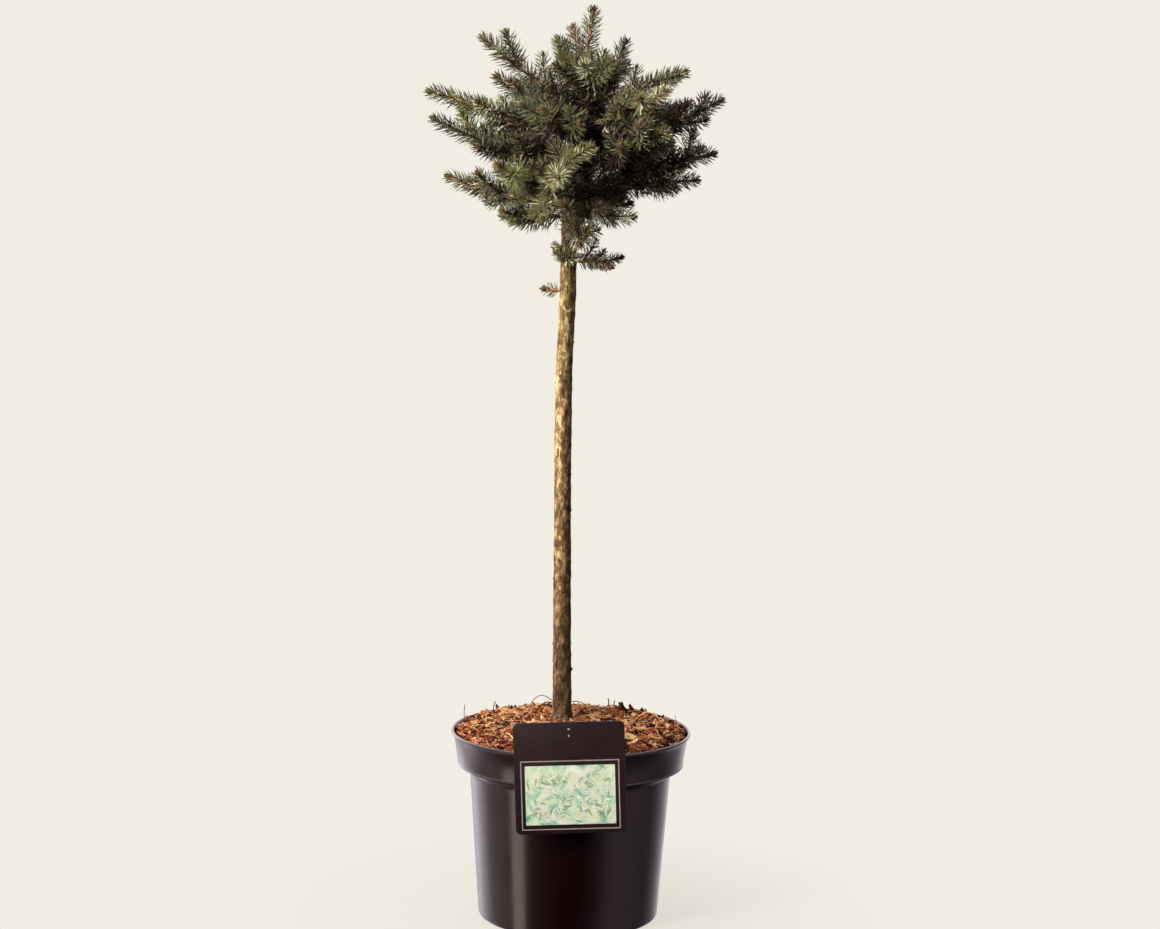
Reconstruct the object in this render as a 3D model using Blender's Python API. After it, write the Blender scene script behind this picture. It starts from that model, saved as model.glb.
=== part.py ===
"""A grafted blue spruce standard in its nursery pot, modelled life size.

The origin is the centre of the pot's flat underside and +Z is up. Azimuths are
measured from +X towards +Y. The front, where the label hangs, faces -Y.
"""

import math
import random
from collections import namedtuple

import bmesh
import bpy
import numpy as np
from mathutils import Vector

for old_object in list(bpy.data.objects):
    bpy.data.objects.remove(old_object, do_unlink=True)

# Pieces that touch in life are modelled with this much air between them
GAP = 0.0003
ROUND_PLASTIC = math.radians(30.0)
ROUND_WOOD = math.radians(40.0)

# Nursery pot, a thin moulded shell, measured over its outside
POT_HEIGHT = 0.204
LIP_RADIUS = 0.130
COLLAR_TOP_RADIUS = 0.1265
COLLAR_FOOT_RADIUS = 0.1225
COLLAR_FOOT_HEIGHT = 0.1695
BODY_TOP_RADIUS = 0.1087
BODY_TOP_HEIGHT = 0.156
BODY_FOOT_RADIUS = 0.0978
FOOT_CORNER = 0.006
SHOULDER_STEP = 0.0025
SHOULDER_RISE = 0.0075
DRIP_EDGE_STEP = 0.0020
DRIP_EDGE_DROP = 0.0025
LIP_FLARE_DROP = 0.0075
LIP_BEAD = 0.0024
LIP_BEAD_ARC = (-60, 90)
POT_WALL = 0.002
POT_FLOOR = 0.003
FLOOR_FILLET = 0.0075
POT_SIDES = 36
DRAIN_COUNT = 8
DRAIN_RADIUS = 0.005
DRAIN_RING = 0.070
DRAIN_SIDES = 8

# Bark mulch that fills the pot to its lip and rises to the trunk
MULCH_EDGE_HEIGHT = 0.2015
MULCH_EDGE_SLOPE = (0.0030, 0.0015)
GROUND_HEIGHT = 0.2125
MOUND_ROUNDNESS = 1.6
MULCH_RINGS = 5
MULCH_LUMP = 0.0022
MULCH_SEED = 7
SEAT_RADIUS = 0.017

# Label card on a hook that is pushed into the mulch behind the lip
CARD_WIDTH = 0.115
CARD_HEIGHT = 0.117
CARD_THICKNESS = 0.001
CARD_CORNER = 0.006
CARD_CENTRE_HEIGHT = 0.182
CARD_TURN = math.radians(2.6)
HOOK_WIDTH = 0.014
HOOK_THICKNESS = 0.0014
HOOK_RADIUS_FROM_AXIS = 0.1165
HOOK_TOP = 0.2330
HOOK_BEND = 0.0055
HOOK_LAP = 0.016
HOOK_FOOT = 0.178
CORNER_STEPS = 4
HOOK_TUCK = 150

# Trunk, station by station up its centre line: height, x, y, radius
TRUNK_STATIONS = (
    (0.2128, -0.0098, 0.0000, 0.0142),
    (0.2185, -0.0099, 0.0000, 0.0116),
    (0.2320, -0.0101, 0.0000, 0.0104),
    (0.2710, -0.0108, 0.0005, 0.0100),
    (0.4540, -0.0134, 0.0020, 0.0092),
    (0.5770, -0.0142, 0.0010, 0.0089),
    (0.6700, -0.0118, 0.0000, 0.0087),
    (0.7330, -0.0108, 0.0000, 0.0088),
    (0.7540, -0.0096, 0.0005, 0.0098),
    (0.7750, -0.0055, 0.0010, 0.0078),
    (0.8280, 0.0085, 0.0030, 0.0056),
    (0.8747, 0.0180, 0.0020, 0.0041),
    (0.8924, 0.0140, 0.0000, 0.0035),
    (0.9141, 0.0023, 0.0000, 0.0028),
)
TRUNK_SIDES = 10
STEM_RINGS = 9
CROWN_RINGS = 19
KNUCKLE_FOOT = 0.721
KNUCKLE_FLARE = 0.734
TRUNK_CLEAR_FROM = 0.66
TRUNK_CLEAR_STOPS = 40

# Boughs: bare wood from the trunk to where the needles start
BOUGH_SIDES = 6
BOUGH_RINGS = 3
BOUGH_SHARE = 0.20
BOUGH_TIP_RADIUS = 0.0019
BOUGH_ROOT_SHARE = 0.48
BOUGH_LEAST_TAPER = 1.2
ROOT_HALF_WIDTH = 0.005

# Shoots: slim cores that needles stand out of
CORE_SIDES = 4
CORE_RADIUS = 0.0017
STEM_CORE_RADIUS = 0.00196
CORE_TIP_RADIUS = 0.0011
CORE_TWIST = math.radians(24.0)
RING_STEP = 0.0078
NEEDLE_LENGTH = 0.0145
NEEDLE_SHORTENINGS = (1.0, 0.75, 0.5)
NEEDLE_ANGLE_AT_ROOT = math.radians(74.0)
NEEDLE_ANGLE_AT_TIP = math.radians(48.0)
NEEDLE_LEAN_POWER = 1.5
NEEDLE_TIP_LOSS = 0.15
NEEDLE_POINTS = 4
BUD_LENGTH = 0.006
SUNK_ROOT_SHARE = 0.3
NEEDLE_AIR = 0.0007
NEEDLE_TO_BOUGH = 0.0045
NEEDLE_TO_TRUNK = 0.0115

# Side shoots
SIDE_SHOOT_LENGTH = 0.052
SIDE_SHOOT_SHORTEST = 0.024
SIDE_SHOOT_FIRST = 0.12
SIDE_SHOOT_SPAN = 0.55
SIDE_SHOOT_SCATTER = (0.10, 0.60)
SIDE_SHOOT_VARIETY = (0.80, 1.10)
SIDE_SHOOT_TAPER = (1.1, 0.45)
SIDE_SHOOT_SWAY = 25
SIDE_SHOOT_TURN_UP = 0.10
SIDE_SHOOT_BOW = 0.03
SHOOT_AIR = 0.0105
ROOT_FREE_RUN = 0.012
ROLL_TRIES = 8
CROWN_SEED = 101

# Each limb: does it start with a bare bough, the height where it leaves the trunk, its
# azimuth in degrees, its reach and height at the tip, how far its middle swings sideways
# and lifts off the straight line, then its side shoots: how many, the first one's roll
# about the limb from straight up and their angle off it, in degrees
Limb = namedtuple("Limb", "name bough root azimuth reach tip swing lift sides roll angle")
LIMBS = (
    Limb("upper_left", True, 0.862, 175, 0.123, 0.944, 0.000, -0.005, 2, 160, 28),
    Limb("inner_left", True, 0.848, -162, 0.108, 0.900, 0.000, -0.004, 2, 90, 45),
    Limb("mid_left", True, 0.838, 180, 0.172, 0.886, 0.000, 0.000, 3, 110, 42),
    Limb("lower_mid_left", True, 0.802, -167, 0.160, 0.856, 0.000, -0.005, 3, 55, 42),
    Limb("low_left", True, 0.768, 176, 0.134, 0.797, 0.000, -0.005, 3, 100, 45),
    Limb("low_left_front", True, 0.780, -140, 0.106, 0.809, 0.000, -0.006, 2, 90, 45),
    Limb("bottom_left", False, 0.755, -172, 0.073, 0.757, 0.000, 0.002, 2, 95, 40),
    Limb("front_centre", True, 0.770, -82, 0.118, 0.827, -0.034, -0.008, 3, 160, 50),
    Limb("right_front", True, 0.843, -48, 0.108, 0.886, 0.000, -0.002, 3, 90, 45),
    Limb("right_upper", True, 0.866, 4, 0.092, 0.911, 0.000, 0.006, 1, 90, 40),
    Limb("far_right", True, 0.826, 0, 0.138, 0.882, 0.000, -0.005, 3, 240, 36),
    Limb("right_mid_back", True, 0.846, 36, 0.110, 0.876, 0.000, 0.000, 3, 90, 45),
    Limb("right_tuft", True, 0.806, -40, 0.110, 0.845, 0.000, 0.000, 3, 90, 45),
    Limb("right_low", True, 0.794, 4, 0.141, 0.826, 0.000, 0.000, 3, 90, 40),
    Limb("right_lowest", True, 0.776, 12, 0.132, 0.798, 0.000, 0.004, 2, 50, 42),
    Limb("bottom_right", False, 0.760, -8, 0.040, 0.768, 0.000, 0.002, 2, 200, 40),
    Limb("centre_tuft", True, 0.826, -118, 0.100, 0.865, 0.000, 0.000, 3, 90, 45),
    Limb("rear_upper_left", True, 0.852, 132, 0.108, 0.880, 0.000, 0.000, 3, 90, 45),
    Limb("rear_mid", True, 0.840, 88, 0.140, 0.868, 0.000, 0.000, 3, 90, 42),
    Limb("rear_mid_left", True, 0.814, 148, 0.140, 0.842, 0.000, 0.000, 3, 90, 42),
    Limb("rear_mid_right", True, 0.812, 52, 0.135, 0.832, 0.000, 0.000, 3, 90, 42),
    Limb("rear_low", True, 0.793, 104, 0.130, 0.796, 0.000, 0.000, 3, 90, 42),
    Limb("top_left_back", False, 0.888, 132, 0.040, 0.957, 0.000, -0.004, 1, 180, 35),
    Limb("top_left_front", False, 0.868, -152, 0.050, 0.941, 0.000, -0.014, 1, 60, 40),
    Limb("top_right", False, 0.880, 52, 0.044, 0.943, 0.000, -0.004, 1, 190, 45),
    Limb("high_front", False, 0.884, -104, 0.066, 0.912, 0.000, 0.002, 2, 90, 45),
    Limb("front_low", False, 0.756, -60, 0.066, 0.766, 0.000, 0.002, 1, 90, 50),
    Limb("front_hanging", False, 0.742, -72, 0.036, 0.728, 0.000, 0.004, 0, 0, 0),
    Limb("rear_low_left", False, 0.783, 148, 0.100, 0.788, 0.000, 0.000, 3, 90, 45),
    Limb("rear_low_right", False, 0.764, 50, 0.085, 0.782, 0.000, 0.000, 2, 90, 45),
    Limb("sprout_left", False, 0.710, -98, 0.023, 0.719, 0.000, -0.003, 0, 0, 0),
    Limb("sprout_right", False, 0.710, -4, 0.044, 0.705, 0.000, 0.002, 1, 250, 35),
    Limb("sprig", False, 0.678, -176, 0.025, 0.680, 0.000, 0.000, 0, 0, 0),
)
LEADER_LENGTH = 0.060
LEADER_LEAN = Vector((0.140, 0.0, 1.0))

Shoot = namedtuple("Shoot", "points radius tip_radius start_normal bare_rings")


def unit(vector):
    return vector / np.linalg.norm(vector)


def catmull_rom(rows, key):
    """Row of values at `key`, on a smooth curve through rows sorted by their first value."""
    keys = [row[0] for row in rows]
    i = min(max(int(np.searchsorted(keys, key)) - 1, 0), len(rows) - 2)
    before, here, there, after = (np.array(rows[min(max(k, 0), len(rows) - 1)], dtype=float)
                                  for k in (i - 1, i, i + 1, i + 2))
    span = there[0] - here[0]
    t = (key - here[0]) / span
    slope_here = (there - before) / (there[0] - before[0]) * span
    slope_there = (after - here) / (after[0] - here[0]) * span
    return ((2 * t**3 - 3 * t**2 + 1) * here + (t**3 - 2 * t**2 + t) * slope_here
            + (3 * t**2 - 2 * t**3) * there + (t**3 - t**2) * slope_there)


def trunk_at(height):
    """Centre and radius of the trunk at a height."""
    _, x, y, radius = catmull_rom(TRUNK_STATIONS, height)
    return np.array((x, y, height)), radius


def trunk_axis(height, step=0.004):
    """Direction of the trunk's centre line at a height."""
    return unit(trunk_at(height + step)[0] - trunk_at(height - step)[0])


def trunk_line():
    """Points up the trunk's centre line, from below its first sprout to its top."""
    heights = np.linspace(TRUNK_CLEAR_FROM, TRUNK_STATIONS[-1][0], TRUNK_CLEAR_STOPS)
    return np.array([trunk_at(height)[0] for height in heights])


def run_along(points):
    """Distance along a polyline to each of its points."""
    return np.concatenate(([0.0], np.cumsum(np.linalg.norm(np.diff(points, axis=0), axis=1))))


def resample(points, step):
    """The same polyline with its points at even steps, ends kept."""
    run = run_along(points)
    stops = np.linspace(0.0, run[-1], max(int(round(run[-1] / step)), 2) + 1)
    return np.stack([np.interp(stops, run, points[:, axis]) for axis in range(3)], axis=1)


def quadratic(start, middle, end, count=24):
    """Points on the curve that leaves start, passes middle and ends at end."""
    control = 2 * middle - (start + end) / 2
    t = np.linspace(0.0, 1.0, count + 1)[:, None]
    return (1 - t)**2 * start + 2 * t * (1 - t) * control + t**2 * end


def distance_to_path(points, path):
    """Least distance from each point to a polyline."""
    start = path[:-1]
    edge = path[1:] - start
    offset = points[:, None, :] - start[None, :, :]
    along = np.clip((offset * edge).sum(2) / (edge * edge).sum(1), 0.0, 1.0)
    return np.linalg.norm(offset - along[:, :, None] * edge[None], axis=2).min(axis=1)


def limb_path(limb):
    """Centre line of a limb, from the trunk's surface to its tip, and its first cut's normal."""
    centre = trunk_at(limb.root)[0]
    half_width = ROOT_HALF_WIDTH if limb.bough else CORE_RADIUS
    radius = max(trunk_at(limb.root + side)[1] for side in (-half_width, 0, half_width))
    azimuth = math.radians(limb.azimuth)
    outwards = np.array((math.cos(azimuth), math.sin(azimuth), 0.0))
    sideways = np.array((-math.sin(azimuth), math.cos(azimuth), 0.0))
    upwards = np.array((0.0, 0.0, 1.0))
    axis = trunk_axis(limb.root)
    normal = unit(outwards - outwards.dot(axis) * axis)
    start = centre + normal * (radius + GAP)
    tip = centre * (1, 1, 0) + outwards * limb.reach + upwards * limb.tip
    middle = (start + tip) / 2 + limb.swing * sideways + limb.lift * upwards
    return quadratic(start, middle, tip), normal


def split_path(points, length):
    """Cut a polyline at a length, leaving GAP between its two parts."""
    run = run_along(points)

    def at(stop):
        return np.array([np.interp(stop, run, points[:, axis]) for axis in range(3)])

    first = np.vstack([points[run < length - GAP], at(length)])
    second = np.vstack([at(length + GAP), points[run > length + 2 * GAP]])
    return first, second


def side_direction(axis, roll, angle):
    """Direction at an angle off an axis, rolled about it from straight up."""
    upwards = np.array((0.0, 0.0, 1.0)) if abs(axis[2]) < 0.95 else np.array((0.0, -1.0, 0.0))
    sideways = unit(np.cross(axis, upwards))
    lifted = np.cross(sideways, axis)
    return math.cos(angle) * axis + math.sin(angle) * (math.cos(roll) * lifted
                                                       + math.sin(roll) * sideways)


def side_shoot_path(stem, share, roll, angle, length):
    """Centre line of a shoot that leaves a stem at a share of its length and turns upwards."""
    at = int(round(share * (len(stem) - 1)))
    axis = unit(stem[min(at + 1, len(stem) - 1)] - stem[max(at - 1, 0)])
    direction = side_direction(axis, roll, angle)
    start = stem[at]
    tip = start + direction * length
    tip = tip + np.array((0.0, 0.0, SIDE_SHOOT_TURN_UP * length))
    middle = start + direction * length / 2 + axis * SIDE_SHOOT_BOW * length
    return quadratic(start, middle, tip, 12)


def clear_share(path, others):
    """Share of a shoot's length before it comes too near any of the other centre lines."""
    run = run_along(path)
    near = np.min([distance_to_path(path, other) for other in others], axis=0) < SHOOT_AIR
    near &= run > ROOT_FREE_RUN
    return 1.0 if not near.any() else run[np.argmax(near)] / run[-1]


def grow_stems():
    """Centre lines of every bough, and each mass's stem in a list of its own."""
    boughs, masses = {}, {}
    for limb in LIMBS:
        stem, normal = limb_path(limb)
        if limb.bough:
            wood, stem = split_path(stem, BOUGH_SHARE * run_along(stem)[-1])
            root_radius = BOUGH_ROOT_SHARE * trunk_at(limb.root)[1]
            boughs[limb.name] = Shoot(wood, max(root_radius, BOUGH_TIP_RADIUS * BOUGH_LEAST_TAPER),
                                      BOUGH_TIP_RADIUS, normal, 0)
            normal = unit(stem[1] - stem[0])
        masses[limb.name] = [Shoot(resample(stem, RING_STEP), STEM_CORE_RADIUS, CORE_TIP_RADIUS,
                                   normal, 0)]
    top = trunk_at(TRUNK_STATIONS[-1][0])[0]
    lean = unit(np.array(LEADER_LEAN))
    normal = trunk_axis(TRUNK_STATIONS[-1][0] - RING_STEP / 2)
    foot = top + normal * GAP
    leader = quadratic(foot, foot + lean * LEADER_LENGTH / 2, top + lean * LEADER_LENGTH)
    masses["leader"] = [Shoot(resample(leader, RING_STEP), STEM_CORE_RADIUS, CORE_TIP_RADIUS,
                              normal, 0)]
    return boughs, masses


def grow_side_shoot(stem, limb, k, dice, others):
    """One side shoot of a stem, turned to where it has most room, or None if it stays short."""
    share = SIDE_SHOOT_FIRST + SIDE_SHOOT_SPAN * (k + dice.uniform(*SIDE_SHOOT_SCATTER)) / limb.sides
    taper, loss = SIDE_SHOOT_TAPER
    length = SIDE_SHOOT_LENGTH * dice.uniform(*SIDE_SHOOT_VARIETY) * (taper - loss * share)
    sway = dice.uniform(-SIDE_SHOOT_SWAY, SIDE_SHOOT_SWAY)
    first_roll = math.radians(limb.roll + 180 * (k % 2) + sway)
    best_share, best_path = 0.0, None
    for turn in range(ROLL_TRIES):
        roll = first_roll + turn * 2 * math.pi / ROLL_TRIES * (-1)**turn
        path = side_shoot_path(stem, share, roll, math.radians(limb.angle), length)
        clear = clear_share(path, others)
        if clear > best_share:
            best_share, best_path = clear, path
    if best_share * length < SIDE_SHOOT_SHORTEST:
        return None
    path = resample(split_path(best_path, best_share * length)[0], RING_STEP)
    return Shoot(path, CORE_RADIUS, CORE_TIP_RADIUS, unit(path[1] - path[0]), 1)


def grow_crown():
    """Centre lines of every bough and of each mass's shoots, the stem first."""
    boughs, masses = grow_stems()
    wood_lines = [trunk_line()] + [wood.points for wood in boughs.values()]
    for number, limb in enumerate(LIMBS):
        dice = random.Random(CROWN_SEED + number)
        stem = masses[limb.name][0].points
        for k in range(limb.sides):
            others = wood_lines + [shoot.points for mass in masses.values() for shoot in mass
                                   if shoot.points is not stem]
            shoot = grow_side_shoot(stem, limb, k, dice, others)
            if shoot is not None:
                masses[limb.name].append(shoot)
    return boughs, masses


def make_material(name, colour, roughness):
    material = bpy.data.materials.new(name)
    material.use_nodes = True
    shader = material.node_tree.nodes["Principled BSDF"]
    shader.inputs["Base Color"].default_value = (*colour, 1.0)
    shader.inputs["Roughness"].default_value = roughness
    shader.inputs["Metallic"].default_value = 0.0
    return material


PLASTIC_BLACK = make_material("pot_plastic", (0.018, 0.014, 0.017), 0.35)
MULCH_BROWN = make_material("bark_mulch", (0.26, 0.11, 0.05), 0.95)
CARD_BLACK = make_material("label_card", (0.012, 0.010, 0.012), 0.45)
BARK = make_material("bark", (0.25, 0.19, 0.10), 0.85)
NEEDLES = make_material("needles", (0.10, 0.14, 0.10), 0.6)


def finish_object(name, bm, material, smooth_angle=None):
    """Turn a bmesh into a named object with its material."""
    bmesh.ops.recalc_face_normals(bm, faces=bm.faces)
    mesh = bpy.data.meshes.new(name)
    bm.to_mesh(mesh)
    bm.free()
    mesh.materials.append(material)
    if smooth_angle is not None:
        mesh.shade_smooth()
        mesh.set_sharp_from_angle(angle=smooth_angle)
    made = bpy.data.objects.new(name, mesh)
    bpy.context.scene.collection.objects.link(made)
    return made


def turn_profile(bm, profile, sides):
    """Spin an (radius, height) outline whose two ends lie on the axis into a closed shell."""
    rings = []
    for radius, height in profile:
        if radius == 0.0:
            rings.append([bm.verts.new((0.0, 0.0, height))])
            continue
        rings.append([bm.verts.new((radius * math.cos(2 * math.pi * k / sides),
                                    radius * math.sin(2 * math.pi * k / sides), height))
                      for k in range(sides)])
    bridge_rings(bm, rings, sides)


def bridge_rings(bm, rings, sides):
    """Faces between rings of vertices; a ring of one vertex closes the shell."""
    for lower, upper in zip(rings, rings[1:]):
        for k in range(sides):
            j = (k + 1) % sides
            if len(lower) == 1:
                bm.faces.new((lower[0], upper[j], upper[k]))
            elif len(upper) == 1:
                bm.faces.new((lower[k], lower[j], upper[0]))
            else:
                bm.faces.new((lower[k], lower[j], upper[j], upper[k]))


def arc(centre, radius, start, stop, steps):
    """Points of an outline round an arc, its angles in degrees from straight outwards."""
    return [(centre[0] + radius * math.cos(angle), centre[1] + radius * math.sin(angle))
            for angle in np.radians(np.linspace(start, stop, steps + 1))]


def pot_inner_profile():
    """Inside of the pot, from the collar's lip down to the corner of its floor."""
    return [
        (COLLAR_TOP_RADIUS - POT_WALL, POT_HEIGHT - LIP_FLARE_DROP + POT_WALL / 2),
        (COLLAR_FOOT_RADIUS - POT_WALL, COLLAR_FOOT_HEIGHT + POT_WALL),
        (BODY_TOP_RADIUS + SHOULDER_STEP - POT_WALL, BODY_TOP_HEIGHT + SHOULDER_RISE + POT_WALL),
        (BODY_TOP_RADIUS - POT_WALL, BODY_TOP_HEIGHT + POT_WALL / 2),
        (BODY_FOOT_RADIUS - POT_WALL, FOOT_CORNER + POT_FLOOR),
        (BODY_FOOT_RADIUS - FLOOR_FILLET, POT_FLOOR),
    ]


def make_pot():
    """Tapered shell with a rounded foot, a stepped-out collar and a beaded lip, with drain holes."""
    foot = arc((BODY_FOOT_RADIUS - FOOT_CORNER, FOOT_CORNER), FOOT_CORNER, -90, 0, 2)
    shoulder = [
        (BODY_TOP_RADIUS, BODY_TOP_HEIGHT),
        (BODY_TOP_RADIUS + SHOULDER_STEP, BODY_TOP_HEIGHT + SHOULDER_RISE),
        (COLLAR_FOOT_RADIUS - DRIP_EDGE_STEP, COLLAR_FOOT_HEIGHT - DRIP_EDGE_DROP),
        (COLLAR_FOOT_RADIUS, COLLAR_FOOT_HEIGHT),
        (COLLAR_TOP_RADIUS, POT_HEIGHT - LIP_FLARE_DROP),
    ]
    bead = arc((LIP_RADIUS - LIP_BEAD, POT_HEIGHT - LIP_BEAD), LIP_BEAD, *LIP_BEAD_ARC, 3)
    outside = [(0.0, 0.0)] + foot + shoulder + bead
    bm = bmesh.new()
    turn_profile(bm, outside + pot_inner_profile() + [(0.0, POT_FLOOR)], POT_SIDES)
    pot = finish_object("pot", bm, PLASTIC_BLACK, ROUND_PLASTIC)

    bm = bmesh.new()
    for k in range(DRAIN_COUNT):
        angle = 2 * math.pi * (k + 0.5) / DRAIN_COUNT
        drill = bmesh.ops.create_cone(bm, cap_ends=True, segments=DRAIN_SIDES, radius1=DRAIN_RADIUS,
                                      radius2=DRAIN_RADIUS, depth=4 * POT_FLOOR)
        bmesh.ops.translate(bm, verts=drill["verts"], vec=(DRAIN_RING * math.cos(angle),
                                                           DRAIN_RING * math.sin(angle), 0.0))
    cut_with(pot, bm, "drain_drills")
    return pot


def cut_with(target, bm, name):
    """Cut a bmesh's shape out of an object with a live Boolean and a hidden cutter."""
    cutter = finish_object(name, bm, BARK)
    cutter.hide_render = True
    cutter.display_type = "WIRE"
    boolean = target.modifiers.new("cut_" + name, "BOOLEAN")
    boolean.operation = "DIFFERENCE"
    boolean.object = cutter


def make_mulch():
    """Fill of the pot, flat only where the trunk stands on it."""
    dice = random.Random(MULCH_SEED)
    foot = trunk_at(GROUND_HEIGHT)[0]
    edge_radius = COLLAR_TOP_RADIUS - POT_WALL - GAP
    edge_step, edge_drop = MULCH_EDGE_SLOPE
    walls = [(radius - GAP, height + GAP) for radius, height in reversed(pot_inner_profile()[1:])]
    bm = bmesh.new()
    rings = [[bm.verts.new((0.0, 0.0, POT_FLOOR + GAP))]]
    for radius, height in walls + [(edge_radius, MULCH_EDGE_HEIGHT - edge_drop)]:
        rings.append([bm.verts.new((radius * math.cos(2 * math.pi * k / POT_SIDES),
                                    radius * math.sin(2 * math.pi * k / POT_SIDES), height))
                      for k in range(POT_SIDES)])
    for step in range(MULCH_RINGS, -1, -1):
        share = step / MULCH_RINGS
        radius = SEAT_RADIUS + (edge_radius - edge_step - SEAT_RADIUS) * share
        dome = GROUND_HEIGHT + (MULCH_EDGE_HEIGHT - GROUND_HEIGHT) * share**MOUND_ROUNDNESS
        ring = []
        for k in range(POT_SIDES):
            angle = 2 * math.pi * k / POT_SIDES
            lump = MULCH_LUMP * dice.uniform(-1.0, 1.0) if step > 0 else 0.0
            ring.append(bm.verts.new((foot[0] * (1 - share) + radius * math.cos(angle),
                                      foot[1] * (1 - share) + radius * math.sin(angle),
                                      dome + lump)))
        rings.append(ring)
    rings.append([bm.verts.new((foot[0], foot[1], GROUND_HEIGHT))])
    bridge_rings(bm, rings, POT_SIDES)
    mulch = finish_object("bark_mulch", bm, MULCH_BROWN)

    slot = bmesh.new()
    add_box(slot, (-HOOK_WIDTH / 2 - GAP, -HOOK_RADIUS_FROM_AXIS - HOOK_THICKNESS - GAP,
                   HOOK_FOOT - GAP),
            (HOOK_WIDTH / 2 + GAP, -HOOK_RADIUS_FROM_AXIS + GAP, POT_HEIGHT))
    turn_label(slot)
    cut_with(mulch, slot, "hook_slot")
    return mulch


def add_box(bm, low, high):
    """Closed box between two corners."""
    made = bmesh.ops.create_cube(bm, size=1.0)["verts"]
    for vert in made:
        vert.co = Vector([low[axis] if vert.co[axis] < 0 else high[axis] for axis in range(3)])
    return made


def turn_label(bm):
    """Tilt label geometry about the card's centre, right side up."""
    centre = Vector((0.0, 0.0, CARD_CENTRE_HEIGHT))
    cosine, sine = math.cos(CARD_TURN), math.sin(CARD_TURN)
    for vert in bm.verts:
        x, z = vert.co.x - centre.x, vert.co.z - centre.z
        vert.co.x = centre.x + cosine * x - sine * z
        vert.co.z = centre.z + sine * x + cosine * z


def make_label():
    """Card with round corners, one piece with the flat hook behind it."""
    back = -LIP_RADIUS - 2 * GAP
    bm = bmesh.new()
    outline = []
    for quarter, (side, level) in enumerate(((1, 1), (-1, 1), (-1, -1), (1, -1))):
        middle = (side * (CARD_WIDTH / 2 - CARD_CORNER),
                  CARD_CENTRE_HEIGHT + level * (CARD_HEIGHT / 2 - CARD_CORNER))
        outline += arc(middle, CARD_CORNER, 90 * quarter, 90 * (quarter + 1), CORNER_STEPS)
    card = bm.faces.new([bm.verts.new((x, back, z)) for x, z in outline])
    front = bmesh.ops.extrude_face_region(bm, geom=[card])["geom"]
    bmesh.ops.translate(bm, verts=[g for g in front if isinstance(g, bmesh.types.BMVert)],
                        vec=(0.0, -CARD_THICKNESS, 0.0))
    turn_label(bm)
    card = finish_object("plant_label", bm, CARD_BLACK, ROUND_PLASTIC)

    half = HOOK_WIDTH / 2
    inner = -HOOK_RADIUS_FROM_AXIS
    sunk = back - CARD_THICKNESS / 2
    inner_bend = (inner - HOOK_BEND, HOOK_TOP - HOOK_BEND)
    outer_bend = (back + HOOK_BEND, HOOK_TOP - HOOK_BEND)
    tight = HOOK_BEND - HOOK_THICKNESS
    route = [(inner, HOOK_FOOT)]
    route += arc(inner_bend, HOOK_BEND, 0, 90, 3) + arc(outer_bend, HOOK_BEND, 90, HOOK_TUCK, 2)
    route += [(sunk, HOOK_TOP - HOOK_BEND), (sunk, HOOK_TOP - HOOK_LAP)]
    route += [(back + HOOK_THICKNESS, HOOK_TOP - HOOK_LAP)]
    route += arc(outer_bend, tight, 180, 90, 3) + arc(inner_bend, tight, 90, 0, 3)
    route += [(inner - HOOK_THICKNESS, HOOK_FOOT)]
    bm = bmesh.new()
    strip = bm.faces.new([bm.verts.new((-half, y, z)) for y, z in route])
    far_side = bmesh.ops.extrude_face_region(bm, geom=[strip])["geom"]
    bmesh.ops.translate(bm, verts=[g for g in far_side if isinstance(g, bmesh.types.BMVert)],
                        vec=(HOOK_WIDTH, 0.0, 0.0))
    turn_label(bm)
    join_into(card, [finish_object("label_hook", bm, CARD_BLACK)], "EXACT")
    return card


def join_into(body, others, solver):
    """Fuse other objects into a body by one Boolean union on a collection."""
    group = bpy.data.collections.new(body.name + "_joined")
    bpy.context.scene.collection.children.link(group)
    for other in others:
        bpy.context.scene.collection.objects.unlink(other)
        group.objects.link(other)
    union = body.modifiers.new("union", "BOOLEAN")
    union.operation = "UNION"
    union.operand_type = "COLLECTION"
    union.collection = group
    union.solver = solver
    bpy.context.view_layer.update()
    bpy.context.view_layer.objects.active = body
    bpy.ops.object.modifier_apply(modifier=union.name)
    for other in others:
        bpy.data.objects.remove(other, do_unlink=True)
    bpy.data.collections.remove(group)


def keep_largest_body(fused):
    """Fill any hollow that fusing sealed, and drop loose scraps, by keeping the outer body."""
    bm = bmesh.new()
    bm.from_mesh(fused.data)
    unseen = set(bm.faces)
    bodies = []
    while unseen:
        front = {unseen.pop()}
        body = set(front)
        while front:
            front = {face for known in front for edge in known.edges for face in edge.link_faces}
            front &= unseen
            unseen -= front
            body |= front
        bodies.append(body)
    bodies.sort(key=len)
    scraps = [vert for body in bodies[:-1] for face in body for vert in face.verts]
    bmesh.ops.delete(bm, geom=list(set(scraps)), context="VERTS")
    bm.to_mesh(fused.data)
    bm.free()


def ring_frames(points):
    """Tangent, side and lift of each point of a path, carried along without twist."""
    tangents = [unit(points[min(i + 1, len(points) - 1)] - points[max(i - 1, 0)])
                for i in range(len(points))]
    helper = np.array((0.0, 0.0, 1.0)) if abs(tangents[0][2]) < 0.9 else np.array((1.0, 0.0, 0.0))
    side = unit(np.cross(tangents[0], helper))
    frames = []
    for tangent in tangents:
        side = unit(side - side.dot(tangent) * tangent)
        frames.append((tangent, side, np.cross(side, tangent)))
    return frames


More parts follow.
